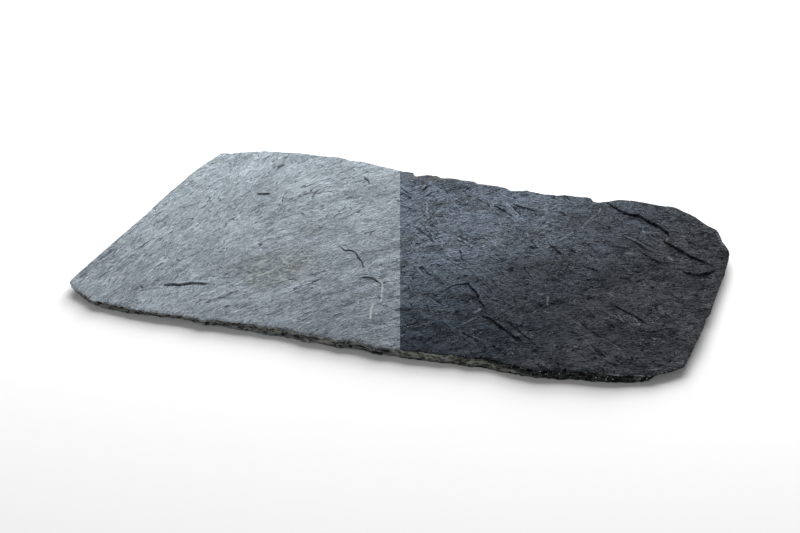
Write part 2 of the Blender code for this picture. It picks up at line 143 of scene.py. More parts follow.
SMALL_LEDGES = (
    ("crease tail", 0.9, 3.0, 16, ((-347, -230), (-335, -224), (-322, -216), (-312, -210))),
    ("second upright crack", 0.9, 1.6, 14, ((-240, 86), (-242, 101), (-243, 118))),
    ("long upright crack", 0.8, 1.8, 20, ((-260, 158), (-262, 200), (-260, 250))),
    ("nick", 1.3, 1.8, 14, ((-209, 77), (-200, 69), (-194, 65))),
    ("hair crack", 0.8, 1.4, 14, ((-190, 164), (-182, 154), (-175, 145))),
    ("beside wandering crack", 0.6, 1.4, 12, ((-86, -21), (-71, -30), (-61, -38), (-54, -53))),
    ("above hooked ledge", 1.0, 1.8, 12, ((-54, -97), (-45, -94), (-37, -92), (-32, -98))),
    ("dry nick", 1.2, 1.8, 14, ((-132, -119), (-122, -114), (-112, -111))),
    ("lower arc", 0.8, 1.4, 12, ((0, -167), (8, -174), (20, -175), (28, -173))),
    ("lower crack", 0.8, 1.4, 14, ((11, -206), (22, -216), (33, -227))),
    ("left nick", 1.0, 1.8, 12, ((-150, -139), (-140, -135), (-133, -134))),
    ("middle nick", 0.9, 1.8, 12, ((-224, -58), (-212, -54))),
    ("upright nick", 0.8, 1.6, 12, ((-169, -66), (-165, -56), (-161, -48))),
    ("front nick", 0.8, 1.8, 12, ((-237, -128), (-221, -124))),
    ("front nick, second", 0.8, 1.8, 12, ((-218, -133), (-202, -136))),
    ("upright hair crack", 0.8, 1.4, 14, ((-165, -225), (-164.5, -213), (-166, -201))),
    ("back fold", 1.1, 3.0, 26, ((82, 228), (100, 222), (108, 214), (114, 205))),
    ("under sloping crease", 0.9, 1.8, 14, ((102, 152), (112, 145), (122, 139))),
    ("dark nick", 1.2, 1.8, 16, ((156, 88), (166, 76), (172, 66), (180, 60))),
    ("wet nick", 1.0, 1.8, 14, ((128, 117), (137, 113), (147, 109))),
    ("beside middle crack", 1.0, 1.6, 16, ((215, 78), (227, 69), (238, 60))),
    ("under short ledge", 0.9, 1.8, 12, ((323, 72), (335, 78), (345, 75))),
    ("right nick", 1.0, 1.8, 14, ((323, 31), (338, 34), (355, 34))),
    ("level nick", 1.1, 1.8, 16, ((277, 103), (291, 100), (306, 101))),
    ("bent nick", 1.4, 2.0, 16, ((249, 24), (262, 23), (274, 18), (285, 10))),
    ("pale riser", 0.9, 2.4, 20, ((140, -164), (130, -180), (123, -193))),
    ("below right crack", 0.8, 1.6, 16, ((341, -115), (360, -130), (378, -143))),
    ("front corner crease", 1.0, 2.0, 16, ((260, -242), (275, -250), (286, -257))),
    ("front crease", 0.9, 2.0, 16, ((103, -205), (116, -210), (128, -217))),
    ("low crease", 0.8, 2.0, 14, ((95, -243), (106, -248), (117, -251))),
    ("wet fold", 0.9, 2.4, 18, ((64, 193), (82, 187), (104, 178))),
    ("beside front ledge", 0.8, 1.6, 12, ((204, -206), (212, -210), (221, -216))),
)

# Narrow cracks and pits with no step: name, depth, half width and line.
GROOVES = (
    ("slot", 1.5, 1.6, ((-42.5, 222), (-43.5, 212), (-46, 201))),
    ("second slot", 1.3, 1.5, ((-29, 204), (-31, 193), (-34.5, 180))),
    ("wet pit", 1.3, 2.2, ((1, 86), (10, 83))),
    ("wet pit, lower", 1.0, 1.8, ((-5, 23), (3, 25))),
    ("wet pit, right", 1.2, 2.2, ((167, 62), (178, 61))),
    ("tip pit", 0.9, 1.8, ((-347, -216), (-341, -222))),
    ("row of dots", 0.8, 1.6, ((-362, 58), (-363, 48), (-366, 38))),
    ("bent hair crack", 0.5, 1.0, ((-76, -135), (-68, -138), (-59, -144))),
    ("back hair crack", 0.6, 1.3, ((-250, 244), (-249, 226), (-245, 211))),
)

# Pale mineral marks and scratches: strength, half width and line.
PALE_MARKS = (
    (0.35, 1.0, ((-30, -68), (-28, -80), (-26, -92))),
    (0.80, 1.4, ((-26, -102), (-19, -107), (-12, -114))),
    (0.65, 1.5, ((-12, -116), (-8, -130), (-3, -148), (1, -163))),
    (0.85, 1.8, ((-8, -171), (-7, -180), (-6, -190), (-2, -200), (0, -211))),
    (0.50, 1.1, ((3, -186), (5, -198))),
    (0.60, 1.8, ((-3, -276), (16, -276))),
    (0.70, 1.6, ((-34, -274), (-28, -278))),
    (0.80, 1.3, ((-47.5, 223), (-47, 212), (-49, 203))),
    (0.60, 1.5, ((-34, 208), (-36, 196), (-37, 188))),
    (0.65, 1.8, ((-27, 174), (-26, 166))),
    (0.70, 1.6, ((-25, 159), (-22, 149))),
    (0.80, 1.7, ((-21, 145), (-19, 137))),
    (0.80, 1.7, ((-18, 131), (-15, 125), (-12, 118))),
    (0.45, 1.4, ((-10, 114), (-8, 108))),
    (0.40, 1.2, ((-1, 141), (2, 131))),
    (0.40, 2.6, ((109, 199), (120, 195), (131, 193))),
    (0.35, 3.2, ((62, 190), (72, 192), (84, 196))),
    (0.45, 1.2, ((59, 142), (70, 134), (82, 125))),
    (0.50, 1.1, ((242, 223), (242, 203), (238, 192), (233, 180), (231, 165), (228, 147))),
    (0.40, 1.6, ((217, 129), (213, 118), (208, 105), (203, 97))),
    (0.40, 1.0, ((317, 182), (318, 168), (324, 158), (326, 141))),
    (0.65, 1.3, ((152, 102), (154, 93))),
    (0.35, 1.1, ((190, 85), (197, 74))),
    (0.30, 4.5, ((306, 88), (314, 89))),
    (0.32, 4.5, ((369, 93), (375, 86))),
    (0.40, 1.6, ((360, 164), (360, 150), (357, 137))),
    (0.45, 3.2, ((140, -141), (139, -148), (135, -153))),
    (0.30, 2.4, ((141, -166), (132, -179), (126, -190))),
    (0.55, 1.8, ((224, -81), (226, -92), (227, -102))),
    (0.35, 3.6, ((209, -75), (215, -74))),
    (0.22, 4.6, ((186, -101), (198, -103))),
    (0.30, 3.2, ((228, -121), (234, -124))),
    (0.25, 2.8, ((262, -73), (262, -81))),
    (0.45, 2.0, ((322, -85), (325, -87))),
    (0.50, 2.0, ((351, -102), (358, -110), (360, -117))),
    (0.25, 2.2, ((130, -79), (134, -85))),
    (0.35, 4.6, ((424, -197), (432, -190))),
    (0.28, 3.8, ((430, 188), (436, 168), (443, 152))),
    (0.55, 1.3, ((302, -261), (325, -258), (350, -253), (372, -245.5), (396, -237))),
)

# How far the foot of the rim lies behind the front edge, at places along it, and elsewhere.
FRONT_UNDERCUT = (
    (-450, 8), (-430, 7), (-418, 5), (-405, 4.5), (-393, 7), (-376, 5), (-340, 5), (-325, 8),
    (-300, 10), (-270, 11), (-240, 9), (-222, 8), (-196, 8), (-180, 5), (-160, 2), (-100, 0.5),
    (-74, 4), (-20, 4), (32, 5), (95, 4.5), (116, 3), (132, 0), (165, 0), (195, -2.5), (214, 1),
    (245, 3.5), (262, 2), (280, -1), (305, 2), (340, 2.5), (385, 2), (398, 7), (410, 20),
    (435, 22),
)
UNDERCUT, UNDERCUT_LESS = 9.0, 1.0
UNDERCUT_WAVER, UNDERCUT_WAVER_SIZE, UNDERCUT_SMOOTHING = 0.8, 28.0, 9.0
FRONT_LIMIT, BACK_LIMIT = -190.0, 225.0

# How deeply the edge of the face is scalloped: along the front, at the back and at the ends.
RAGGED_FRONT = ((-450, 1.5), (-400, 3.6), (60, 3.2), (150, 2.2), (400, 1.6))
RAGGED_BACK, RAGGED_ENDS = 1.6, 0.7
SCALLOP_SIZES, SCALLOP_MIDDLE = (9.0, 4.0), 0.3
BROAD_SCALLOPS, FINE_SCALLOPS = 1.3, 0.7

# The layers of the rim: their upper limits, from 0 at the face to 1 at the underside.
RIM_LAYERS = (0.0, 0.10, 0.25, 0.41, 0.58, 0.77, 1.0)
LAYER_GAP, LAYER_DEPTH, LAYER_SIZES, DEEPEST_LAYER = 0.012, 1.5, (11.0, 4.6), 2
RIM_CAVITY = (0.0, 1.0, 0.7, 0.1, 0.0, 0.0)
CAVITY_DEPTH, CAVITY_SIZE, CAVITY_LEVEL, CAVITY_EDGE = 2.4, 13.0, 0.05, 0.14
RIM_SMOOTHING, RIM_CURVE, GRIT, GRIT_SIZE = 15.0, 1.25, 0.4, 3.2

# The cleavage grain: its angle from +X in degrees, where along the length it rules, and how much
# longer its marks are there.
GRAIN = ((80, -400, 2.0), (60, -140, 1.5), (42, 110, 0.9), (28, 370, 0.8))
GRAIN_REACH = 150.0

# The slow shape of the upper face, the thin front corner, and the scars of the underside.
THICKEN_FROM, THICKEN_OVER = -450.0, 560.0
WAVE_HEIGHT, WAVE_LENGTHS, WAVE_STARTS = 0.7, (118.0, 150.0), (0.6, -0.4)
SWELL_HEIGHT, SWELL_SIZE, SWELL_ANGLE = 0.9, (110.0, 170.0), 60.0
RIDGE_HEIGHT, RIDGE_SIZE = 1.6, (25.0, 60.0)
FRONT_LEVEL, FRONT_LEVEL_OVER = -262.0, 70.0
SWELL_LEFT, RIDGES_LEFT, EDGE_DROP = 0.25, 0.4, 0.4
CORNER, CORNER_DEPTH, CORNER_REACH = (415.0, -225.0), 6.0, 110.0
SCAR_DEPTH, SCAR_SIZE, SCAR_ANGLE = 1.6, (70.0, 120.0), 35.0
SCAR_LEVEL, SCAR_EDGE = 0.05, 0.12
FLAT_REACH, FLAT_FADE = (260.0, 130.0), 0.25

# How drawn lines waver, as height, size and seed, and how ledges, grooves and marks fade out.
WAVERS = ((1.1, 8.0, 51.0), (0.9, 3.4, 52.0))
LEDGE_FADE, LEDGE_FAR = 0.25, 4.0
# Grooves are painted dark inside as painted shade, more so the deeper and wider they are.
GROOVE_FADE, GROOVE_FAR, GROOVE_ENDS, GROOVE_SHADE = 0.2, 4.0, 0.35, 2.0
MARK_FAR, MARK_EDGE, MARK_NARROW = 3.0, 1.35, 0.8

# Painted shade lies low on a riser and thins out in places, and a painted highlight makes the crest
# above it pale.
SHADE_DROP, SHADE_LENGTH, SHADE_SHARE, SHADE_VARIES, SHADE_SIZE = 2.0, 1.6, 0.75, 0.6, 9.0
SHADE_MIDDLE, RISER_SOFT, RISER_SOFT_RUN = -0.7, 0.75, 1.4
CREST_SHARE, CREST_MIDDLE, CREST_SOFT = 0.3, 0.9, 0.7

# Seeds of the noise that shapes the stone, and of its mesh.
SWELL_SEED, RIDGE_SEED, SCAR_SEED, SHADE_SEED = 3.1, 11.0, 23.0, 57.0
SCALLOP_SEED, FINE_SEED_STEP, UNDERCUT_SEED, CAVITY_SEED = 5.0, 0.5, 7.0, 77.0
LAYER_SEED, LAYER_SEED_STEP, GRIT_SEED, GRIT_SEED_STEP = 40.0, 9.0, 300.0, 50.0
FACE_SEED, UNDERSIDE_SEED = 1, 2

# The mesh: half of the sheet that it is cut from, how far its points are shaken, how far they
# keep from the rim and from lines, and where lines run beside risers, grooves and marks.
SHEET, SHAKE, GAP = (470.0, 300.0), 0.22, 0.55
LINE_PITCH, DETAIL_PITCH, LINE_CLEAR = 2.5, 2.4, 2.4
RISER_MARGIN, GROOVE_SIDE, MARK_SIDE, BROAD_MARK = 1.0, 1.3, 1.5, 2.0
EDGE_SHARE, SHARP_ANGLE, FAR = 0.35, math.radians(42), 1e9

# The upright plane that parts the dry half from the wet one: a point on it, and its turn.
SPLIT_POINT = (-7.9, -56.1)
SPLIT_TURN = math.radians(17.17)

# What only the node trees use: places are in metres, and densities in noise cells to a metre.
# Marks along the grain are ENDLESS in height, so that the noise only varies in plan.
MIDDLE = (0.5, 0.5, 0.5)
CHIP_TILT, CHIP_LEVEL, CREST_LEVEL = 1.6, 0.6, 0.11
ENDLESS, SEED_STEP, MARK_LENGTH = 1e6, 1.7, 2.4
CRUMPLE, CRUMPLE_SPREAD = (0.015, -0.062, 0.0), (11.0, 8.5, 0.0)
CRUMPLE_TURN, CRUMPLE_DENSITY = 48.0, (50.0, 110.0, 0.0)
CRACK_TURN, CRACK_DENSITY = 38.0, (6.0, 34.0, 0.0)
PATCH, PATCH_SPREAD = (-0.186, -0.110, 0.0), (15.0, 14.0, 0.0)
SMALL_PATCH, SMALL_PATCH_SPREAD = (-0.174, 0.018, 0.0), (42.0, 60.0, 0.0)
LAYER_DENSITY = (38.0, 38.0, 520.0)
FORWARD, FRONT_RIM = (0.62, -0.78, 0.0), -0.2
THIN_FILM, FILM_ROUGHNESS, WATER_IOR = 0.08, 0.26, 1.33

# The stage: the floor's half width and tone, each softbox's size, place and aim, and the view.
FLOOR_HALF, FLOOR_TONE = 12.0, (0.93, 0.93, 0.93)
SOFTBOX = (3.6, (-0.50, 2.45, 1.90), (-0.1, 0.0, 0.0))
LOW_SOFTBOX = (1.5, (-0.30, 3.00, 0.90), (0.0, 0.0, 0.0))
LOOKED_AT = (-0.0079, -0.0561, 0.0145)


# ---------------------------------------------------------------------------------------------
# Plan lines and heights, in millimetres.
# ---------------------------------------------------------------------------------------------

def smooth_step(value):
    """0 below 0, 1 above 1, and an even curve between."""
    value = np.clip(value, 0.0, 1.0)
    return value * value * (3.0 - 2.0 * value)


def smooth_line(points, pitch, closed=False, tension=0.32):
    """A curve through the points, with a vertex about every pitch and one at every point."""
    points = [Vector(point) for point in points]
    count = len(points)
    line = []
    for index in range(count if closed else count - 1):
        if closed:
            before, start, end, after = (points[(index + step) % count] for step in (-1, 0, 1, 2))
        else:
            start, end = points[index], points[index + 1]
            before = points[index - 1] if index else start * 2 - end
            after = points[index + 2] if index + 2 < count else end * 2 - start
        leave, arrive = (end - before) * tension, (after - start) * tension
        steps = max(1, round((end - start).length / pitch))
        for step in range(steps):
            t = step / steps
            line.append(start * (2 * t**3 - 3 * t**2 + 1) + leave * (t**3 - 2 * t**2 + t)
                        + end * (3 * t**2 - 2 * t**3) + arrive * (t**3 - t**2))
    if not closed:
        line.append(points[-1])
    return np.array([tuple(point) for point in line])


def outward(loop):
    """Unit vectors that point out of an anticlockwise loop, in plan."""
    along = np.roll(loop, -1, axis=0) - np.roll(loop, 1, axis=0)
    normal = np.stack((along[:, 1], -along[:, 0]), axis=1)
    return normal / np.linalg.norm(normal, axis=1, keepdims=True)


def averaged(loop, reach):
    """The loop smoothed over a number of vertices each way."""
    weights = np.hanning(2 * reach + 3)[1:-1]
    shifts = range(-reach, reach + 1)
    total = sum(weight * np.roll(loop, shift, axis=0) for weight, shift in zip(weights, shifts))
    return total / weights.sum()


def bumps(points, across, along, seed, angle=0.0):
    """Smooth noise from -1 to 1 at each point, stretched along an angle in degrees."""
    turn = math.radians(angle)
    u = (points[:, 0] * math.cos(turn) + points[:, 1] * math.sin(turn)) / along
    v = (points[:, 1] * math.cos(turn) - points[:, 0] * math.sin(turn)) / across
    return np.array([noise.noise(Vector((a, b, seed))) for a, b in zip(u, v)])


def grain_ridges(points, across, along, seed):
    """Ridges that follow the cleavage grain, which leans over from the left end to the right."""
    total = np.zeros(len(points))
    power = np.zeros(len(points))
    for angle, centre, longer in GRAIN:
        weight = np.exp(-((points[:, 0] - centre) / GRAIN_REACH) ** 2)
        total += weight * bumps(points, across, along * longer, seed + angle, angle)
        power += weight ** 2
    return total / np.sqrt(power)


def along_line(points, line, far):
    """For points within a distance of a line: their distance, side and place from 0 to 1."""
    nearest = np.full(len(points), FAR)
    side = np.zeros(len(points))
    place = np.zeros(len(points))
    low, high = line.min(axis=0) - far, line.max(axis=0) + far
    near = np.flatnonzero(np.all((points > low) & (points < high), axis=1))
    close = points[near]
    for index, (start, end) in enumerate(zip(line[:-1], line[1:])):
        step = end - start
        offset = close - start
        share = np.clip(offset @ step / (step @ step), 0.0, 1.0)
        distance = np.linalg.norm(offset - share[:, None] * step, axis=1)
        closer = distance < nearest[near]
        changed = near[closer]
        cross = step[0] * offset[closer, 1] - step[1] * offset[closer, 0]
        nearest[changed] = distance[closer]
        side[changed] = np.sign(cross)
        place[changed] = (index + share[closer]) / (len(line) - 1)
    return nearest, side, place


def beside(line, offsets):
    """The line moved to its left by each of some distances."""
    step = np.gradient(line, axis=0)
    left = np.stack((-step[:, 1], step[:, 0]), axis=1)
    left /= np.linalg.norm(left, axis=1, keepdims=True)
    return [line + left * offset for offset in offsets]


def wavering(line, pitch):
    """A smooth line through the points that wavers a little."""
    line = smooth_line(line, pitch)
    waver = sum(height * bumps(line, size, size, seed) for height, size, seed in WAVERS)
    return beside(line, (waver[:, None],))[0]


def step_of_ledge(points, ledge):
    """What one ledge does at each point: its height, the painted shade on its riser and the painted
    highlight on its crest.
    """
    _, drop, run, reach, line = ledge
    nearest, side, place = along_line(points, wavering(line, LINE_PITCH), reach * LEDGE_FAR)
    taper = smooth_step(place / LEDGE_FADE) * smooth_step((1.0 - place) / LEDGE_FADE)
    across = side * nearest / (run / 2)
    step = 0.5 * drop * taper * np.clip(across, -1.0, 1.0) * np.exp(-nearest / reach)
    broken = SHADE_SHARE + SHADE_VARIES * bumps(points, SHADE_SIZE, SHADE_SIZE, SHADE_SEED)
    strength = min(1.0, drop / SHADE_DROP) * smooth_step(SHADE_LENGTH * taper) * broken
    strength = np.clip(strength, 0.0, 1.0)
    soft = max(RISER_SOFT, RISER_SOFT_RUN / run)
    crease_shade = strength * np.exp(-((across - SHADE_MIDDLE) / soft) ** 2)
    crest = np.exp(-((across - CREST_MIDDLE - soft) / (CREST_SOFT * soft)) ** 2)
    return step, crease_shade, CREST_SHARE * strength * crest


def face_height(points):
    """Height of the upper face above the plane that the slab rests on."""
    x, y = points[:, 0], points[:, 1]
    share = smooth_step((x - THICKEN_FROM) / THICKEN_OVER)
    shape = bpy.context.scene.slate_shape
    height = (shape.thickness_left + (shape.thickness_right - shape.thickness_left) * share) / MM
    level = smooth_step((y - FRONT_LEVEL) / FRONT_LEVEL_OVER)
    swell = WAVE_HEIGHT * np.sin(x / WAVE_LENGTHS[0] + WAVE_STARTS[0])
    swell = swell * np.cos(y / WAVE_LENGTHS[1] + WAVE_STARTS[1])
    swell = swell + SWELL_HEIGHT * bumps(points, *SWELL_SIZE, SWELL_SEED, SWELL_ANGLE)
    height = height + swell * (SWELL_LEFT + (1.0 - SWELL_LEFT) * level)
    ridges = RIDGE_HEIGHT * grain_ridges(points, *RIDGE_SIZE, RIDGE_SEED)
    height = height + ridges * (RIDGES_LEFT + (1.0 - RIDGES_LEFT) * level)
    from_corner = np.hypot(x - CORNER[0], y - CORNER[1])
    height = height - CORNER_DEPTH * smooth_step(1.0 - from_corner / CORNER_REACH)
    # Painted shade at the feet of ledges and in grooves, and painted highlights on ledge crests.
    crease_shade, crests = np.zeros(len(points)), np.zeros(len(points))
    for ledge in LEDGES + SMALL_LEDGES:
        step, foot, crest = step_of_ledge(points, ledge)
        height = height + step
        crease_shade = np.maximum(crease_shade, foot)
        crests = np.maximum(crests, crest)
    for _, depth, width, line in GROOVES:
        nearest, _, place = along_line(points, smooth_line(line, LINE_PITCH),
                                       width * GROOVE_FAR)
        taper = smooth_step(place / GROOVE_FADE) * smooth_step((1.0 - place) / GROOVE_FADE)
        hollow = GROOVE_ENDS + (1.0 - GROOVE_ENDS) * taper
        hollow = hollow * np.exp(-(nearest / width) ** 2)
        height = height - depth * hollow
        crease_shade = np.maximum(crease_shade, hollow * min(1.0, depth * width / GROOVE_SHADE))
    return height, crease_shade, crests


def pale_marks(points, pale):
    """How strongly each point carries a pale mark, from 0 to 1, besides the painted highlights on
    the crests.
    """
    for strength, width, line in PALE_MARKS:
        nearest, _, _ = along_line(points, wavering(line, LINE_PITCH), width * MARK_FAR)
        mark = smooth_step(MARK_EDGE - nearest / (MARK_NARROW * width))
        pale = np.maximum(pale, strength * mark)
    return pale


def underside_height(points):
    """Flake scars on the underside: the middle of it is left flat."""
    x, y = points[:, 0], points[:, 1]
    away = np.hypot(x / FLAT_REACH[0], y / FLAT_REACH[1])
    scar = bumps(points, *SCAR_SIZE, SCAR_SEED, SCAR_ANGLE)
    scar = smooth_step((scar - SCAR_LEVEL) / SCAR_EDGE)
    return SCAR_DEPTH * scar * smooth_step((away - 1.0) / FLAT_FADE)


# ---------------------------------------------------------------------------------------------
# The stone's mesh.
# ---------------------------------------------------------------------------------------------

def scallops(edge, broad, fine, seed):
    """Hollows between sharp cusps, from 0 to about 1, for each point of the edge."""
    return (BROAD_SCALLOPS * np.abs(bumps(edge, broad, broad, seed))
            + FINE_SCALLOPS * np.abs(bumps(edge, fine, fine, seed + FINE_SEED_STEP)))


def rim_rings(pitch):
    """The rings of the broken rim, and how deep each one lies, from 0 to 1."""
    edge = smooth_line(FRONT_EDGE + RIGHT_EDGE + BACK_EDGE + LEFT_EDGE, pitch, closed=True)
    top = face_height(edge)[0] - EDGE_DROP
    front = np.interp(edge[:, 0], *zip(*FRONT_UNDERCUT))
    undercut = np.where(edge[:, 1] < FRONT_LIMIT, front, UNDERCUT)
    undercut = averaged(undercut[:, None], round(UNDERCUT_SMOOTHING / pitch))[:, 0]
    waver = bumps(edge, UNDERCUT_WAVER_SIZE, UNDERCUT_WAVER_SIZE, UNDERCUT_SEED)
    undercut = undercut + UNDERCUT_WAVER * waver - UNDERCUT_LESS
    smoothing = round(RIM_SMOOTHING / pitch)
    inner = averaged(edge, smoothing)
    inward = -averaged(outward(inner), smoothing)
    ragged = np.interp(edge[:, 0], *zip(*RAGGED_FRONT))
    ragged = np.where(edge[:, 1] > BACK_LIMIT, RAGGED_BACK, ragged)
    ragged = np.where(np.abs(edge[:, 1]) < BACK_LIMIT, RAGGED_ENDS, ragged)
    bite = ragged * (scallops(edge, *SCALLOP_SIZES, SCALLOP_SEED) - SCALLOP_MIDDLE)
    edge = edge + inward * bite[:, None]
    cavity = bumps(edge, CAVITY_SIZE, CAVITY_SIZE, CAVITY_SEED)
    cavity = CAVITY_DEPTH * smooth_step((cavity - CAVITY_LEVEL) / CAVITY_EDGE)
    rings, depths = [], []
    for layer, (upper, lower) in enumerate(zip(RIM_LAYERS[:-1], RIM_LAYERS[1:])):
        recess = scallops(edge, *LAYER_SIZES, LAYER_SEED + LAYER_SEED_STEP * layer)
        recess = min(layer, DEEPEST_LAYER) * LAYER_DEPTH * recess + cavity * RIM_CAVITY[layer]
        for level in (upper + LAYER_GAP * (layer > 0), lower - LAYER_GAP * (lower < 1.0)):
            slope = level ** RIM_CURVE
            grit = GRIT * bumps(edge, GRIT_SIZE, GRIT_SIZE, GRIT_SEED + GRIT_SEED_STEP * level)
            plan = edge * (1.0 - slope) + inner * slope
            shift = undercut * slope + (recess + grit) * (level > 0.0)
            plan = plan + inward * shift[:, None]
            rings.append(np.column_stack((plan, top * (1.0 - level))))
            depths.append(level)
    return rings, depths


def inside(points, loop, margin):
    """Which points lie inside a loop, at least a margin away from its line."""
    result = np.zeros(len(points), dtype=bool)
    nearest = np.full(len(points), FAR)
    order = np.argsort(points[:, 1])
    heights = points[order, 1]
    for start, end in zip(loop, np.roll(loop, -1, axis=0)):
        low, high = min(start[1], end[1]), max(start[1], end[1])
        row = order[np.searchsorted(heights, low - margin - 1.0):
                    np.searchsorted(heights, high + margin + 1.0)]
        close = points[row]
        step = end - start
        offset = close - start
        share = np.clip(offset @ step / (step @ step), 0.0, 1.0)
        distance = np.linalg.norm(offset - share[:, None] * step, axis=1)
        nearest[row] = np.minimum(nearest[row], distance)
        spans = (start[1] > close[:, 1]) != (end[1] > close[:, 1])
        rise = end[1] - start[1] or 1e-12
        result[row] ^= spans & (close[:, 0] < start[0] + step[0] * (close[:, 1] - start[1]) / rise)
    return result & (nearest > margin)


def away_from(points, lines, margin):
    """Which points keep a margin to every vertex of some lines."""
    clear = np.ones(len(points), dtype=bool)
    for line in lines:
        low, high = line.min(axis=0) - margin, line.max(axis=0) + margin
        near = np.flatnonzero(np.all((points > low) & (points < high), axis=1))
        for vertex in line:
            clear[near] &= np.linalg.norm(points[near] - vertex, axis=1) > margin
    return clear


def scattered(across, along, seed):
    """A triangular lattice over the slab's box, with each point a little out of its row."""
    rows = np.arange(-SHEET[1], SHEET[1], along)
    columns = np.arange(-SHEET[0], SHEET[0], across)
    x, y = np.meshgrid(columns, rows)
    x = x + np.where(np.arange(len(rows)) % 2, across / 2, 0.0)[:, None]
    shake = np.random.default_rng(seed).uniform(-SHAKE, SHAKE, (2,) + x.shape)
    return np.column_stack(((x + shake[0] * across).ravel(), (y + shake[1] * along).ravel()))


def detail_lines(loop, pitch):
    """Lines along risers, grooves and marks, so that the mesh follows them, inside the rim."""
    lines = []
    for ledge in LEDGES + SMALL_LEDGES:
        half = ledge[2] / 2
        outer = half + RISER_MARGIN
        lines += beside(wavering(ledge[4], pitch), (-outer, -half, 0.0, half, outer))
    for _, _, width, line in GROOVES:
        side = width * GROOVE_SIDE
        lines += beside(smooth_line(line, pitch), (-side, 0.0, side))
    for _, width, line in PALE_MARKS:
        side = width * MARK_SIDE
        if width < BROAD_MARK:
            lines += beside(wavering(line, pitch), (-side, 0.0, side))
    kept = [line[inside(line, loop, LINE_CLEAR)] for line in lines]
    return [line for line in kept if len(line) > 1]


def sheet(loop, across, along, seed, lines=()):
    """Triangles that fill a loop, with edges along some lines: plan points and faces."""
    points = scattered(across, along, seed)
    points = points[inside(points, loop, across * GAP)]
    points = points[away_from(points, lines, across * GAP)]
    edges = []
    first = len(loop)
    for line in lines:
        edges += [(first + index, first + index + 1) for index in range(len(line) - 1)]
        first += len(line)
    flat = [Vector(point) for point in np.concatenate([loop, *lines, points])]
    found, _, faces, _, _, _ = delaunay_2d_cdt(flat, edges, [range(len(loop))], 1, 1e-6, False)
    plan = np.array([tuple(point) for point in found])
    faces = np.array(faces)
    on_rim = np.flatnonzero((faces < len(loop)).all(axis=1))
    middles = plan[faces[on_rim]].mean(axis=1)
    outside = on_rim[~inside(middles, loop, 0.0)]
    return plan, np.delete(faces, outside, axis=0)


def stone_mesh(shape):
    """The slab as one closed mesh with its ledges, its layered rim and its attributes."""
    rings, depths = rim_rings(shape.rim_pitch / MM)
    edge, foot = rings[0][:, :2], rings[-1][:, :2]
    count = len(edge)
    lines = detail_lines(edge, DETAIL_PITCH)
    plan, upper = sheet(edge, shape.pitch_across / MM, shape.pitch_along / MM, FACE_SEED, lines)
    height, crease_shade, crests = face_height(plan)
    height[:count] = rings[0][:, 2]
    top = np.column_stack((plan, height))
    pale = pale_marks(plan, crests)

    pitch = shape.underside_pitch / MM
    plan, under = sheet(foot, pitch, pitch, UNDERSIDE_SEED)
    height = underside_height(plan)
    height[:count] = 0.0
    bottom = np.column_stack((plan, height))

    middle = rings[1:-1]
    points = np.concatenate([top, *middle, bottom])
    starts = [0] + [len(top) + index * count for index in range(len(middle) + 1)]
    index = np.arange(count)
    after = (index + 1) % count
    wall = [np.column_stack((low + index, low + after, high + after, high + index))
            for high, low in zip(starts[:-1], starts[1:])]
    faces = upper.tolist() + np.concatenate(wall).tolist()
    faces += (under[:, ::-1] + starts[-1]).tolist()

    low, high = points[:, :2].min(axis=0), points[:, :2].max(axis=0)
    length, width = BOX_HIGH[0] - BOX_LOW[0], BOX_HIGH[1] - BOX_LOW[1]
    scale = np.array((length / (high - low)[0], width / (high - low)[1], MM))
    points = (points - np.append((high + low) / 2, 0.0)) * scale
    mesh = bpy.data.meshes.new(PIECE)
    mesh.from_pydata(points.tolist(), [], faces)

    total = len(points)
    values = {name: np.zeros(total) for name in ("upper", "under", "depth", "crease_shade", "pale")}
    values["upper"][:len(top)] = 1.0
    values["upper"][:count] = EDGE_SHARE
    # The mesh carries the painted shade, and the pale marks with the painted crest highlights, as
    # attributes.
    values["crease_shade"][:len(top)] = crease_shade
    values["pale"][:len(top)] = pale
    values["under"][starts[-1]:] = 1.0
    values["depth"][starts[-1]:] = 1.0
    for start, depth in zip(starts[1:-1], depths[1:-1]):
        values["depth"][start:start + count] = depth
    for name, value in values.items():
        mesh.attributes.new(name, "FLOAT", "POINT").data.foreach_set("value", value)
    return mesh


# ---------------------------------------------------------------------------------------------
# Node trees.
# ---------------------------------------------------------------------------------------------

def is_number(value):
    """Whether a value is a single number, and not a vector or a colour."""
    if isinstance(value, Value):
        return value.socket.type == "VALUE"
    return isinstance(value, (int, float))


class Value:
    """What a node gives out. A sum or a product of values adds the node that works it out."""

    def __init__(self, nodes, socket):
        self.nodes = nodes
        self.socket = socket

    def reckon(self, operation, first, second):
        numbers = is_number(first) and is_number(second)
        return (self.nodes.math if numbers else self.nodes.vector)(operation, first, second)

    def __add__(self, other):
        return self.reckon("ADD", self, other)

    def __sub__(self, other):
        return self.reckon("SUBTRACT", self, other)

    def __rsub__(self, other):
        return self.reckon("SUBTRACT", other, self)

    def __mul__(self, other):
        return self.reckon("MULTIPLY", self, other)

    def __truediv__(self, other):
        return self.reckon("DIVIDE", self, other)

    def __abs__(self):
        return self.nodes.math("ABSOLUTE", self)

    __radd__, __rmul__ = __add__, __mul__


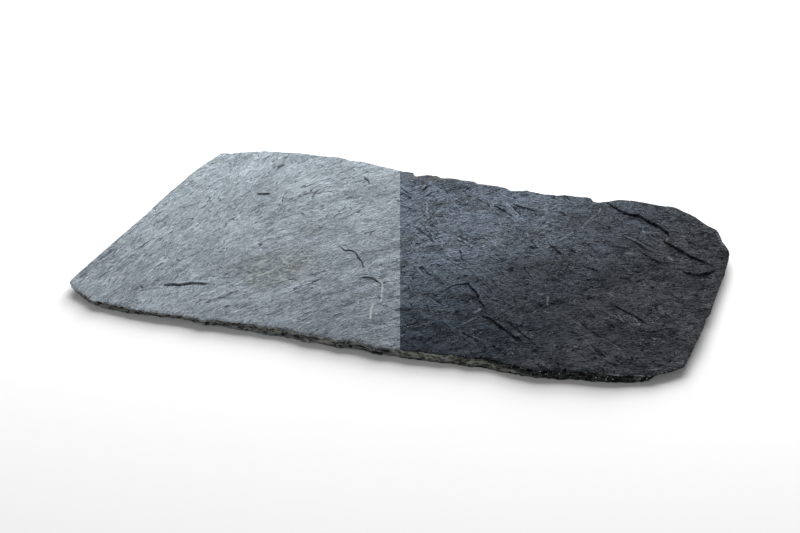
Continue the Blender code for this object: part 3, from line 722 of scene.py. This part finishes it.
class Nodes:
    """Adds nodes to a tree. An input is a number, a vector, a colour or another node's value."""

    COLUMN, ROW, ROWS = 190.0, -160.0, 7

    def __init__(self, tree):
        self.tree = tree

    def add(self, kind, inputs=None, **settings):
        node = self.tree.nodes.new(kind)
        column, row = divmod(len(self.tree.nodes), self.ROWS)
        node.location = (self.COLUMN * column, self.ROW * row)
        for name, setting in settings.items():
            setattr(node, name, setting)
        for name, given in (inputs or {}).items():
            if isinstance(given, Value):
                self.tree.links.new(given.socket, node.inputs[name])
            else:
                node.inputs[name].default_value = given
        return node

    def value(self, kind, inputs=None, output=0, **settings):
        """The value that a new node gives out."""
        return Value(self, self.add(kind, inputs, **settings).outputs[output])

    def math(self, operation, *values, clamp=False):
        return self.value("ShaderNodeMath", dict(enumerate(values)), operation=operation,
                          use_clamp=clamp)

    def vector(self, operation, *values):
        output = "Value" if operation in ("DOT_PRODUCT", "LENGTH") else "Vector"
        return self.value("ShaderNodeVectorMath", dict(enumerate(values)), output,
                          operation=operation)

    def most(self, first, second):
        return self.math("MAXIMUM", first, second)

    def split(self, vector):
        """The three parts of a vector."""
        node = self.add("ShaderNodeSeparateXYZ", {0: vector})
        return [Value(self, socket) for socket in node.outputs]

    def turn(self, position, degrees):
        """The position turned about Z."""
        inputs = {"Vector": position, "Angle": math.radians(degrees)}
        return self.value("ShaderNodeVectorRotate", inputs, rotation_type="Z_AXIS")

    def range(self, value, low, high, to_low=0.0, to_high=1.0, smooth=False):
        """The value from one range to another, held at its ends."""
        inputs = dict(enumerate((value, low, high, to_low, to_high)))
        return self.value("ShaderNodeMapRange", inputs, clamp=True,
                          interpolation_type="SMOOTHSTEP" if smooth else "LINEAR")

    def mix(self, share, first, second):
        """A colour between two others."""
        return self.value("ShaderNodeMix", {0: share, 6: first, 7: second}, 2, data_type="RGBA")

    def noise(self, position, scale=1.0, detail=2.0, roughness=0.5):
        """Noise from 0 to 1, with 0.5 as its middle."""
        return self.value("ShaderNodeTexNoise", {"Vector": position, "Scale": scale,
                                                 "Detail": detail, "Roughness": roughness})

    def shake(self, position, scale, detail=2.0):
        """Noise in three directions, about 0."""
        inputs = {"Vector": position, "Scale": scale, "Detail": detail}
        return self.value("ShaderNodeTexNoise", inputs, "Color") - MIDDLE

    def warp(self, position, scale, reach, detail=2.0):
        """The position moved about in plan by smooth noise."""
        return position + self.shake(position, scale, detail) * (reach, reach, 0.0)

    def cells(self, position, scale, output, **settings):
        return self.value("ShaderNodeTexVoronoi", {"Vector": position, "Scale": scale}, output,
                          **settings)

    def chip(self, spot):
        """Tilted cells with steps between them, about -0.4 to 0.4."""
        node = self.add("ShaderNodeTexVoronoi", {"Vector": spot, "Scale": 1.0},
                        feature="F1", voronoi_dimensions="2D")
        chance = Value(self, node.outputs["Color"]) - MIDDLE
        offset = spot - Value(self, node.outputs["Position"])
        tilt = self.vector("DOT_PRODUCT", chance * (CHIP_TILT, CHIP_TILT, 0.0), offset)
        return tilt + self.vector("DOT_PRODUCT", chance, (0.0, 0.0, CHIP_LEVEL))

    def grain(self, position, across, along, seed, detail=2.0, roughness=0.5, chips=False):
        """Noise or chips drawn out along the cleavage grain, about -0.4 to 0.4."""
        x = self.split(position)[0]
        total, power = 0.0, 0.0
        for angle, centre, longer in GRAIN:
            away = x * (1.0 / (GRAIN_REACH * MM)) - centre / GRAIN_REACH
            weight = self.math("POWER", 1.0 / math.e, away * away)
            size = self.value("ShaderNodeCombineXYZ", {0: along * longer, 1: across, 2: ENDLESS})
            spot = self.turn(position, -angle) / size
            step = angle * SEED_STEP
            if chips:
                field = self.chip(spot * (1.0, 1.0, 0.0) + (seed, step, 0.0))
            else:
                field = self.noise(spot + (0.0, 0.0, seed + step), 1.0, detail, roughness) - 0.5
            total = field * weight + total
            power = weight * weight + power
        return total / self.math("SQRT", power)

    def ridged(self, field, sharp):
        """Turns noise about 0 into noise about 0 with narrow crests."""
        return (CREST_LEVEL - abs(field)) * sharp + field

    def flakes(self, field, count, edge):
        """A gentle slope broken by narrow steps, from a noise field about 0."""
        share = self.math("FRACT", field * count)
        return self.range(share, 0.0, edge, smooth=True) - share

    def creases(self, place, size, seed, count, width, opened):
        """Thin lines along the grain that open and close, their lips, and a scarp at each."""
        field = self.grain(place, *size, seed) * count
        gap = opened * width - self.math("PINGPONG", field, 0.5)
        share = self.math("FRACT", field)
        lip = (self.range(share, 0.5 * width, 1.1 * width)
               * self.range(share, 2.4 * width, 1.4 * width))
        line = self.math("DIVIDE", gap, 0.5 * width, clamp=True)
        return line, lip * opened, self.flakes(field, 1.0, 1.5 * width) * opened


def riven_tree(relief):
    """A Geometry Nodes tree that splits the smooth stone into scales and ridges."""
    tree = bpy.data.node_groups.new("Riven relief", "GeometryNodeTree")
    tree.interface.new_socket("Geometry", in_out="INPUT", socket_type="NodeSocketGeometry")
    settings = {
        "Ridge spacing": relief.ridge_spacing, "Ridge height": relief.ridge_height,
        "Flake spacing": relief.flake_spacing, "Flake height": relief.flake_height,
        "Crumple height": relief.crumple_height, "Rim grit": relief.rim_grit,
    }
    for name in settings:
        tree.interface.new_socket(name, in_out="INPUT", socket_type="NodeSocketFloat")
    tree.interface.new_socket("Stone", in_out="INPUT", socket_type="NodeSocketMaterial")
    tree.interface.new_socket("Geometry", in_out="OUTPUT", socket_type="NodeSocketGeometry")
    n = Nodes(tree)
    given = {name: Value(n, socket) for name, socket in n.add("NodeGroupInput").outputs.items()}
    position = n.value("GeometryNodeInputPosition")
    upper, under = (n.value("GeometryNodeInputNamedAttribute", {"Name": name})
                    for name in ("upper", "under"))

    # Ridges wander, lean with the grain and have narrow crests.
    warped = n.warp(position, 24.0, 0.022)
    spacing = given["Ridge spacing"]
    ridges = n.grain(warped, spacing, spacing * MARK_LENGTH, relief.seed, 2.0, 0.55)
    ridges = n.ridged(ridges, 0.9)

    # Flakes rise gently and end in a small scarp.
    spacing = given["Flake spacing"]
    field = n.grain(warped, spacing, spacing * MARK_LENGTH, relief.seed + 7.0)
    patchy = n.range(n.noise(position, 12.0), 0.36, 0.66, 0.2, 1.0, smooth=True)
    flakes = n.flakes(field, 5.0, 0.16) * patchy

    # One part of the wet half is crumpled.
    away = n.vector("LENGTH", (position - CRUMPLE) * CRUMPLE_SPREAD)
    folds = n.noise(n.turn(warped, -CRUMPLE_TURN) * CRUMPLE_DENSITY) - 0.5
    folds = n.ridged(folds, 0.8) * n.range(away, 1.15, 0.35, smooth=True)

    lift = (ridges * given["Ridge height"] + flakes * given["Flake height"]
            + folds * given["Crumple height"])
    rise = lift * upper + abs(lift) * under

    # The broken rim is gritty.
    wall = (1.0 - (upper + under)) * given["Rim grit"]
    wall = n.value("ShaderNodeCombineXYZ", {0: wall, 1: wall})
    offset = n.shake(position, 260.0) * wall + n.value("ShaderNodeCombineXYZ", {2: rise})

    moved = n.value("GeometryNodeSetPosition", {"Geometry": given["Geometry"], "Offset": offset})
    kept = n.value("GeometryNodeStoreNamedAttribute", {"Geometry": moved, "Name": "lift",
                   "Value": lift / MM}, data_type="FLOAT", domain="POINT")
    real = n.value("GeometryNodeRealizeInstances", {"Geometry": kept})
    n.add("NodeGroupOutput", {0: n.value("GeometryNodeSetMaterial", {
        "Geometry": real, "Material": given["Stone"]})})
    return tree, settings


class SlateShader(Nodes):
    """Slate in one shader: dry on the left of an upright plane, and wet on its right."""

    def __init__(self, tree, look):
        super().__init__(tree)
        self.look = look
        self.place = self.value("ShaderNodeTexCoord", output="Object")
        self.x, self.y, self.z = self.split(self.place)
        plane = (SPLIT_POINT[0] * MM, SPLIT_POINT[1] * MM, 0.0)
        from_plane = self.vector("DOT_PRODUCT", self.place - plane,
                                 (math.cos(SPLIT_TURN), math.sin(SPLIT_TURN), 0.0))
        self.wet = self.math("GREATER_THAN", from_plane, 0.0)
        self.front = self.math("LESS_THAN", self.y, FRONT_RIM)
        self.rim = (self.range(self.attribute("depth"), 0.02, 0.10)
                    * (1.0 - self.attribute("under")))
        self.mottle = self.noise(self.place, 9.0, 4.0, 0.55) - 0.5
        self.warped = self.warp(self.place, 40.0, 0.008)
        self.torn = self.warp(self.warped, 170.0, 0.004, 3.0)
        self.draw_grain()
        self.draw_creases()
        self.draw_tones()

    def attribute(self, name):
        return self.value("ShaderNodeAttribute", output="Fac", attribute_name=name)

    def patches(self, scale, low, high, detail=2.0, to_low=0.0, to_high=1.0):
        """Patches of noise that set in between two levels of it."""
        return self.range(self.noise(self.place, scale, detail), low, high, to_low, to_high)

    def draw_grain(self):
        """Relief too fine for the mesh: ripples, hair lines, fur-like grain, chips and pits."""
        ripples = self.grain(self.warped, 0.0068, 0.0170, 41.0, 4.0, 0.66)
        self.hair = self.range(abs(ripples), 0.050, 0.010) * self.patches(34.0, 0.45, 0.60, 3.0)
        self.ripples = self.ridged(ripples, 0.8)
        self.fur = self.grain(self.warped, 0.0024, 0.0066, 47.0, 3.0, 0.75)
        self.chips = self.grain(self.torn, 0.0036, 0.0088, 71.0, chips=True)
        self.small_chips = self.grain(self.torn, 0.0021, 0.0042, 73.0, chips=True)
        self.pits = self.patches(300.0, 0.30, 0.42)

    def draw_creases(self):
        """Creases along the grain in two sizes, and slanting cracks in the wet half."""
        wavy = self.warp(self.warp(self.place, 16.0, 0.014), 110.0, 0.0035)
        opened = self.noise(self.place, 20.0, 2.0, 0.55)
        seam, lip, self.plates = self.creases(wavy, (0.022, 0.090), 61.0, 6.0, 0.075,
                                              self.range(opened, 0.44, 0.62))
        self.small_seam, small_lip, self.thin_flakes = self.creases(
            wavy, (0.0085, 0.036), 63.0, 5.0, 0.10, self.range(opened, 0.62, 0.44))
        slant = self.noise(self.turn(wavy, CRACK_TURN) * CRACK_DENSITY) - 0.5
        shown = self.wet * self.patches(18.0, 0.48, 0.57)
        crack = self.range(abs(slant), 0.0135, 0.006) * shown
        crack_lip = self.range(slant, 0.011, 0.019) * self.range(slant, 0.036, 0.024) * shown
        # The crease lines and cracks carry painted shade, and their lips and the hair lines carry
        # painted highlights.
        self.seam = self.most(seam, crack)
        self.lips = self.most(self.most(lip, crack_lip), small_lip) + self.hair

    def draw_tones(self):
        """How pale the stone is: its streaks and mottling, with painted highlights on crests and
        lips and painted shade in hollows and thin crease lines.
        """
        look = self.look
        broad = self.grain(self.place, 0.022, 0.090, 21.0, 3.0, 0.55)
        tone = self.ripples * look.ripple_light_and_shade + self.fur * look.fur_light_and_shade + 0.5
        tone += (self.chips + self.small_chips) * look.chip_tone
        tone += broad * 0.9 + self.mottle * 0.6 + self.attribute("lift") * 0.12
        tone += (self.lips * 0.5 - self.small_seam) * look.crease_light_and_shade
        self.tone = self.range(tone, 0.0, 1.0)
        self.keen = self.range(tone + (self.lips - broad) * 0.5, 0.20, 0.99)

        # Painted light and shade: both halves are painted paler at the left and back and darker at
        # the front of the middle.
        self.along = self.vector("DOT_PRODUCT", self.place, FORWARD)
        self.shade = (self.range(self.x, -0.30, -0.04, 1.20, 1.00)
                      * self.range(self.along, 0.07, 0.20, 1.0, 0.77))
        self.right = self.x - self.y * 0.75 + self.mottle * 0.25

    def spot(self, centre, spread, ragged):
        """How far a place is from the middle of a ragged spot, whose rim is at about 1."""
        return self.vector("LENGTH", (self.place - centre) * spread) + self.mottle * ragged

    def dry_face(self):
        """The dry face: painted light makes it palest at its left end and back; it has an olive
        patch and pale, wormy veins.
        """
        look = self.look
        colour = self.mix(self.tone, look.dry_dark, look.dry_light)
        # Painted highlight: the back of the left end is painted paler still.
        colour = colour * (self.shade * self.range(self.along, -0.46, -0.20, 1.24, 1.0))
        patch = self.range(self.spot(PATCH, PATCH_SPREAD, 1.3), 1.15, 0.45, smooth=True)
        small = self.range(self.spot(SMALL_PATCH, SMALL_PATCH_SPREAD, 1.6), 1.1, 0.4)
        patch = self.most(patch, small * 0.8)
        veins = self.cells(self.warp(self.place, 90.0, 0.016), 95.0, "Distance",
                           feature="DISTANCE_TO_EDGE", voronoi_dimensions="2D")
        veins = self.range(veins, 0.15, 0.07) * self.patches(70.0, 0.42, 0.56, 1.0) * patch
        stain = patch * self.patches(55.0, 0.35, 0.60, 3.0, 0.15, 0.65)
        return self.mix(veins * 0.7, self.mix(stain, colour, look.patch), look.vein)

    def wet_face(self):
        """The wet face, painted darker towards the right and the front as painted shade, and browner
        towards its right end.
        """
        look = self.look
        colour = self.mix(self.keen, look.wet_dark, look.wet_light) * self.shade
        # Painted shade: the wet face is painted darker towards the right and the front.
        colour = colour * self.range(self.right, 0.0, 0.30, 1.04, 0.46)
        far = self.range(self.x + self.mottle * 0.5, 0.10, 0.46)
        return self.mix(far, colour, self.mix(self.keen, look.far_dark, look.far_light))

    def stained(self, colour):
        """The colour with the tan stain at the middle of the back edge."""
        stain = (self.range(self.y - self.x * 0.10, 0.232, 0.252)
                 * self.range(abs(self.x + 0.035), 0.10, 0.05) * self.patches(60.0, 0.40, 0.62, 3.0))
        return self.mix(stain * 0.5, colour, self.look.tan)

    def marked(self, colour):
        """The colour with pale marks and painted highlights, and with painted shade at the foot of
        ledges and in cracks.
        """
        look = self.look
        ragged = self.noise(self.place, 230.0, 3.0, 0.65) - 0.5
        mark = self.attribute("pale")
        sure = self.range(mark + ragged * 0.5, 0.08, 0.26)
        fleck = self.range(self.noise(self.place, 240.0, 3.0, 0.7), 0.36, 0.50, 0.30, 1.0)
        # Painted highlights: pale flecks on the tops of small chips, stronger in the wet half.
        nick = self.patches(38.0, 0.50, 0.64, to_high=self.wet * 0.25 + 0.30)
        self.pale = self.most(self.math("MULTIPLY", mark, 1.3, clamp=True) * sure * fleck,
                              self.range(self.small_chips, 0.22, 0.38) * nick)
        colour = self.mix(self.pale, colour, self.mix(self.wet, look.dry_mark_and_highlight, look.wet_mark_and_highlight))
        # Painted shade: dark at the foot of ledges, in grooves and along the crease lines.
        foot = self.range(self.attribute("crease_shade") + ragged * 0.6, 0.22, 0.50, 0.0, 0.9)
        self.crease_shade = self.most(foot, self.seam * look.seam_shade)
        return self.mix(self.crease_shade, colour, self.mix(self.wet, look.dry_crease_shade, look.wet_crease_shade))

    def broken_rim(self):
        """The rim: grey and olive layers, black where it is wet, with bright grains that are partly
        mineral grains and partly painted glints.
        """
        look = self.look
        blocks = self.split(self.cells(self.torn * (1.0, 1.0, 1.7), 190.0, "Color"))[0]
        self.layers = self.noise(self.place * LAYER_DENSITY, 1.0, 4.0, 0.6) + (blocks - 0.5) * 0.3
        dry = self.mix(self.range(self.layers, 0.34, 0.68), look.rim_dark, look.rim_light)
        wet = self.mix(self.range(self.layers, 0.40, 0.72), look.wet_rim_dark,
                       look.wet_rim_light)
        olive = self.mix(self.range(self.layers, 0.34, 0.62), look.olive_dark, look.olive_light)
        weathered = self.range(self.x + self.z * 11.0 + self.mottle * 0.05, 0.30, 0.27)
        wet = self.mix(weathered * self.front, wet, olive)
        # Painted glints, partly mineral grains: bright specks on the wet front rim.
        grains = self.range(self.cells(self.place, 340.0, "Distance"), 0.34, 0.22)
        grains = grains * self.patches(170.0, 0.50, 0.58, 1.0)
        grains = grains * self.range(self.x, 0.15, 0.33) * self.front
        return self.mix(grains, self.mix(self.wet, dry, wet), look.quartz_and_glints)

    def relief(self):
        """The height of what is too fine for the mesh, on the faces and on the rim."""
        look = self.look
        face = self.ripples * look.ripple_height + self.fur * look.fur_height
        face += self.thin_flakes * look.flake_height + self.plates * look.plate_height
        face += (self.chips + self.small_chips * 0.8) * look.chip_height
        face += self.pits * look.pit_depth
        wall = self.layers * look.layer_height + self.chips * (0.8 * look.chip_height)
        return face * (1.0 - self.rim) + wall * self.rim

    def roughness(self):
        """Matt where dry, satin where wet, duller where painted shade lies and on pale marks."""
        dull = 0.86 - self.keen * 0.10
        slick = self.look.wet_roughness - self.keen * 0.14
        rough = (slick - dull) * self.wet + dull
        return self.math("ADD", rough, (self.pale + self.crease_shade) * 0.15, clamp=True)

    def film(self):
        """The water on the wet half: thickest at its left, thin at the back and over the painted
        crease shade.
        """
        coat = self.look.wet_coat
        film = self.range(self.right, -0.08, 0.26, coat, THIN_FILM * coat)
        film = film * self.range(self.y, 0.04, 0.22, 1.0, 0.45)
        return self.wet * film * (1.0 - self.crease_shade)


def stone_material(look):
    """The slate of the whole slab, with its faces, its rim and its fine relief."""
    material = bpy.data.materials.new("riven slate")
    material.use_nodes = True
    material.node_tree.nodes.clear()
    n = SlateShader(material.node_tree, look)

    # The colour comes first: the relief and the finish use its layers, marks and painted crease
    # shade.
    face = n.marked(n.stained(n.mix(n.wet, n.dry_face(), n.wet_face())))
    colour = n.mix(n.rim, face, n.broken_rim())
    normal = n.value("ShaderNodeBump", {"Strength": 1.0, "Distance": 1.0, "Height": n.relief()})
    surface = n.value("ShaderNodeBsdfPrincipled", {
        "Base Color": colour, "Roughness": n.roughness(), "Normal": normal,
        "Coat Weight": n.film(), "Coat Normal": normal, "Specular IOR Level": 0.0,
        "Coat Roughness": FILM_ROUGHNESS, "Coat IOR": WATER_IOR,
    })
    n.add("ShaderNodeOutputMaterial", {"Surface": surface})
    return material


# ---------------------------------------------------------------------------------------------
# Properties.
# ---------------------------------------------------------------------------------------------

def length_property(name, description, default):
    return bpy.props.FloatProperty(name=name, description=description, default=default,
                                   unit="LENGTH", precision=5)


def colour_property(name, description, default):
    return bpy.props.FloatVectorProperty(name=name, description=description, size=4, min=0.0,
                                         max=1.0, subtype="COLOR", default=(*default, 1.0))


def number_property(name, description, default):
    return bpy.props.FloatProperty(name=name, description=description, default=default)


class SlateShape(bpy.types.PropertyGroup):
    """Sizes of the slab and of its mesh."""
    thickness_left: length_property("Left thickness", "Mean thickness at the left end", 0.0128)
    thickness_right: length_property("Right thickness", "Mean thickness at the right end", 0.0163)
    pitch_across: length_property("Face pitch, across", "Mesh pitch along X", 0.0023)
    pitch_along: length_property("Face pitch, along", "Mesh pitch along Y", 0.0031)
    rim_pitch: length_property("Rim pitch", "Mesh pitch along the rim", 0.0023)
    underside_pitch: length_property("Underside pitch", "Mesh pitch of the underside", 0.012)


class SlateRelief(bpy.types.PropertyGroup):
    """The riven relief."""
    ridge_spacing: length_property("Ridge spacing", "Between ridges of the grain", 0.016)
    ridge_height: length_property("Ridge height", "Height of the ridges", 0.0032)
    flake_spacing: length_property("Flake spacing", "Width of a lifted flake", 0.036)
    flake_height: length_property("Flake height", "Height of a flake's scarp", 0.0012)
    crumple_height: length_property("Crumple height", "Height of the crumpled folds", 0.0034)
    rim_grit: length_property("Rim grit", "Roughness of the broken rim", 0.0016)
    seed: number_property("Seed", "Chooses another stone of the same kind", 4.0)


class SlateLook(bpy.types.PropertyGroup):
    """Colours and finish."""
    # Each face's dark and light colours are mixed by its tone: the stone's streaks, with painted
    # light on crests and painted shade in hollows.
    dry_dark: colour_property("Dry, dark", "Hollows of the dry face", (0.148, 0.173, 0.198))
    dry_light: colour_property("Dry, light", "Crests of the dry face", (0.440, 0.498, 0.546))
    wet_dark: colour_property("Wet, dark", "Hollows of the wet face", (0.004, 0.006, 0.010))
    wet_light: colour_property("Wet, light", "Crests of the wet face", (0.178, 0.222, 0.282))
    far_dark: colour_property("Wet right end, dark", "Hollows there", (0.002, 0.003, 0.003))
    far_light: colour_property("Wet right end, light", "Crests there", (0.092, 0.096, 0.104))
    patch: colour_property("Patch", "The olive patch", (0.160, 0.178, 0.180))
    vein: colour_property("Vein", "Veins in the patch", (0.46, 0.48, 0.46))
    tan: colour_property("Tan", "Stain at the back edge", (0.17, 0.15, 0.12))
    # Pale mineral marks, which also colour the painted highlights on crests and chip tops.
    dry_mark_and_highlight: colour_property("Dry mark", "Pale marks on the dry face", (0.66, 0.69, 0.70))
    wet_mark_and_highlight: colour_property("Wet mark", "Pale marks on the wet face", (0.32, 0.35, 0.38))
    # Colours of the painted shade at ledges, grooves and creases, dry and wet.
    dry_crease_shade: colour_property("Dry dirt", "Dirt at dry ledges", (0.035, 0.042, 0.055))
    wet_crease_shade: colour_property("Wet dirt", "Dirt at wet ledges", (0.006, 0.007, 0.010))
    rim_dark: colour_property("Rim, dark", "Dark layers of the dry rim", (0.020, 0.021, 0.021))
    rim_light: colour_property("Rim, light", "Pale layers of the dry rim", (0.47, 0.475, 0.455))
    wet_rim_dark: colour_property("Wet rim, dark", "Dark layers", (0.007, 0.008, 0.009))
    wet_rim_light: colour_property("Wet rim, light", "Pale layers", (0.095, 0.102, 0.102))
    olive_dark: colour_property("Olive layer, dark", "Weathered layer", (0.060, 0.063, 0.059))
    olive_light: colour_property("Olive layer, light", "Weathered layer", (0.46, 0.48, 0.44))
    # Bright rim grains: partly mineral grains, partly painted glints.
    quartz_and_glints: colour_property("Quartz", "Bright grains in the rim", (0.80, 0.80, 0.78))
    wet_roughness: number_property("Wet roughness", "Roughness of the wet face", 0.66)
    wet_coat: number_property("Wet coat", "Weight of the water film", 0.17)
    # Painted light and shade: crests, lips and hair lines are painted paler, and hollows and crease
    # lines darker, with painted shade in the creases.
    ripple_light_and_shade: number_property("Ripple tone", "How much paler the ripples' crests are", 0.35)
    fur_light_and_shade: number_property("Fur tone", "How much paler the finest crests are", 1.5)
    crease_light_and_shade: number_property("Edge tone", "How much darker the hair lines are", 0.8)
    seam_shade: number_property("Seam dirt", "How much dirt is in the creases", 0.75)
    chip_tone: number_property("Chip tone", "How much the tone of chips varies", 0.12)
    chip_height: length_property("Chip height", "Height of the steps between chips", 0.0019)
    ripple_height: length_property("Ripple height", "Height of the small ripples", 0.0022)
    fur_height: length_property("Fur height", "Height of the finest grain", 0.0054)
    flake_height: length_property("Thin flakes", "Height of thin flakes", 0.0008)
    plate_height: length_property("Plates", "Height of the larger plates' edges", 0.0016)
    pit_depth: length_property("Pit depth", "Depth of small pits", 0.00010)
    layer_height: length_property("Layer height", "Relief of the rim's layers", 0.0012)


class SlateStage(bpy.types.PropertyGroup):
    """Camera, light and floor."""
    lens: bpy.props.FloatProperty(name="Lens", description="Focal length in millimetres",
                                  default=69.75)
    azimuth: bpy.props.FloatProperty(name="Azimuth", description="Camera's turn to the right",
                                     subtype="ANGLE", default=math.radians(17.1665))
    elevation: bpy.props.FloatProperty(name="Elevation", description="Camera's height angle",
                                       subtype="ANGLE", default=math.radians(28.626))
    distance: length_property("Distance", "From the camera to what it looks at", 2.288)
    sky: number_property("Sky", "Strength of the even light all round", 0.17)
    key: number_property("Key", "Power of the softbox behind, in watts", 185.0)
    low: number_property("Low", "Power of the low softbox behind, in watts", 95.0)
    floor_glow: number_property("Floor glow", "Light of the floor's own", 0.07)


# ---------------------------------------------------------------------------------------------
# Operators and panel.
# ---------------------------------------------------------------------------------------------

class SLATE_OT_slab(bpy.types.Operator):
    """Build the riven slate slab"""
    bl_idname = "slate.slab"
    bl_label = "Slate slab"

    def execute(self, context):
        scene = context.scene
        rough = bpy.data.objects.new("stone before splitting", stone_mesh(scene.slate_shape))
        scene.collection.objects.link(rough)
        material = stone_material(scene.slate_look)
        tree, settings = riven_tree(scene.slate_relief)
        modifier = rough.modifiers.new("Riven relief", "NODES")
        modifier.node_group = tree
        names = {item.name: item.identifier for item in tree.interface.items_tree
                 if item.in_out == "INPUT"}
        for name, value in settings.items():
            modifier[names[name]] = value
        modifier[names["Stone"]] = material
        evaluated = rough.evaluated_get(context.evaluated_depsgraph_get())
        mesh = bpy.data.meshes.new_from_object(evaluated)
        mesh.name = PIECE
        bpy.data.objects.remove(rough, do_unlink=True)
        mesh.shade_smooth()
        mesh.set_sharp_from_angle(angle=SHARP_ANGLE)
        slab = bpy.data.objects.new(PIECE, mesh)
        scene.collection.objects.link(slab)
        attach(slab, BODY)
        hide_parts(NODE)
        return {"FINISHED"}


def plain_material(name, colour, glow):
    """A matt material that glows a little."""
    material = bpy.data.materials.new(name)
    material.use_nodes = True
    shader = material.node_tree.nodes["Principled BSDF"]
    shader.inputs["Base Color"].default_value = (*colour, 1.0)
    shader.inputs["Roughness"].default_value = 0.9
    shader.inputs["Specular IOR Level"].default_value = 0.1
    shader.inputs["Emission Color"].default_value = (1.0, 1.0, 1.0, 1.0)
    shader.inputs["Emission Strength"].default_value = glow
    return material


def add_light(scene, name, power, size, position, target):
    """A square softbox that looks from a position to a target."""
    data = bpy.data.lights.new(name, "AREA")
    data.energy = power
    data.size = size
    light = bpy.data.objects.new(name, data)
    light.location = position
    aim = Vector(target) - Vector(position)
    light.rotation_euler = aim.to_track_quat("-Z", "Y").to_euler()
    scene.collection.objects.link(light)


class SLATE_OT_stage(bpy.types.Operator):
    """Build the floor, the lights and the camera"""
    bl_idname = "slate.stage"
    bl_label = "Studio stage"

    def execute(self, context):
        scene = context.scene
        stage = scene.slate_stage
        scene.view_settings.view_transform = "Standard"
        data = bpy.data.meshes.new("floor")
        corners = [(x * FLOOR_HALF, y * FLOOR_HALF, 0.0)
                   for x, y in ((-1, -1), (1, -1), (1, 1), (-1, 1))]
        data.from_pydata(corners, [], [(0, 1, 2, 3)])
        data.materials.append(plain_material("floor", FLOOR_TONE, stage.floor_glow))
        floor = bpy.data.objects.new("floor", data)
        scene.collection.objects.link(floor)

        world = bpy.data.worlds.new("even light")
        world.use_nodes = True
        background = world.node_tree.nodes["Background"]
        background.inputs["Color"].default_value = (1.0, 1.0, 1.0, 1.0)
        background.inputs["Strength"].default_value = stage.sky
        scene.world = world
        add_light(scene, "softbox", stage.key, *SOFTBOX)
        add_light(scene, "low softbox", stage.low, *LOW_SOFTBOX)

        data = bpy.data.cameras.new("camera")
        data.lens = stage.lens
        camera = bpy.data.objects.new("camera", data)
        flat = math.cos(stage.elevation)
        back = Vector((math.sin(stage.azimuth) * flat, -math.cos(stage.azimuth) * flat,
                       math.sin(stage.elevation)))
        camera.location = Vector(LOOKED_AT) + back * stage.distance
        camera.rotation_euler = (-back).to_track_quat("-Z", "Y").to_euler()
        scene.collection.objects.link(camera)
        scene.camera = camera
        return {"FINISHED"}


class SLATE_PT_panel(bpy.types.Panel):
    """Lists what can be built, with its sizes and colours"""
    bl_label = "Slate slab"
    bl_space_type = "VIEW_3D"
    bl_region_type = "UI"
    bl_category = "Slate"

    def draw(self, context):
        layout = self.layout
        for group in (context.scene.slate_shape, context.scene.slate_relief,
                      context.scene.slate_look):
            box = layout.box()
            for name in group.__annotations__:
                box.prop(group, name)
        layout.operator(SLATE_OT_slab.bl_idname)
        box = layout.box()
        for name in context.scene.slate_stage.__annotations__:
            box.prop(context.scene.slate_stage, name)
        layout.operator(SLATE_OT_stage.bl_idname)


GROUPS = {"slate_shape": SlateShape, "slate_relief": SlateRelief, "slate_look": SlateLook,
          "slate_stage": SlateStage}
CLASSES = (*GROUPS.values(), SLATE_OT_slab, SLATE_OT_stage, SLATE_PT_panel)


def register():
    for cls in CLASSES:
        bpy.utils.register_class(cls)
    for name, group in GROUPS.items():
        setattr(bpy.types.Scene, name, bpy.props.PointerProperty(type=group))


def unregister():
    for name in GROUPS:
        delattr(bpy.types.Scene, name)
    for cls in reversed(CLASSES):
        bpy.utils.unregister_class(cls)


def main():
    register()
    bpy.ops.slate.slab()
    bpy.ops.slate.stage()


if __name__ == "__main__":
    main()
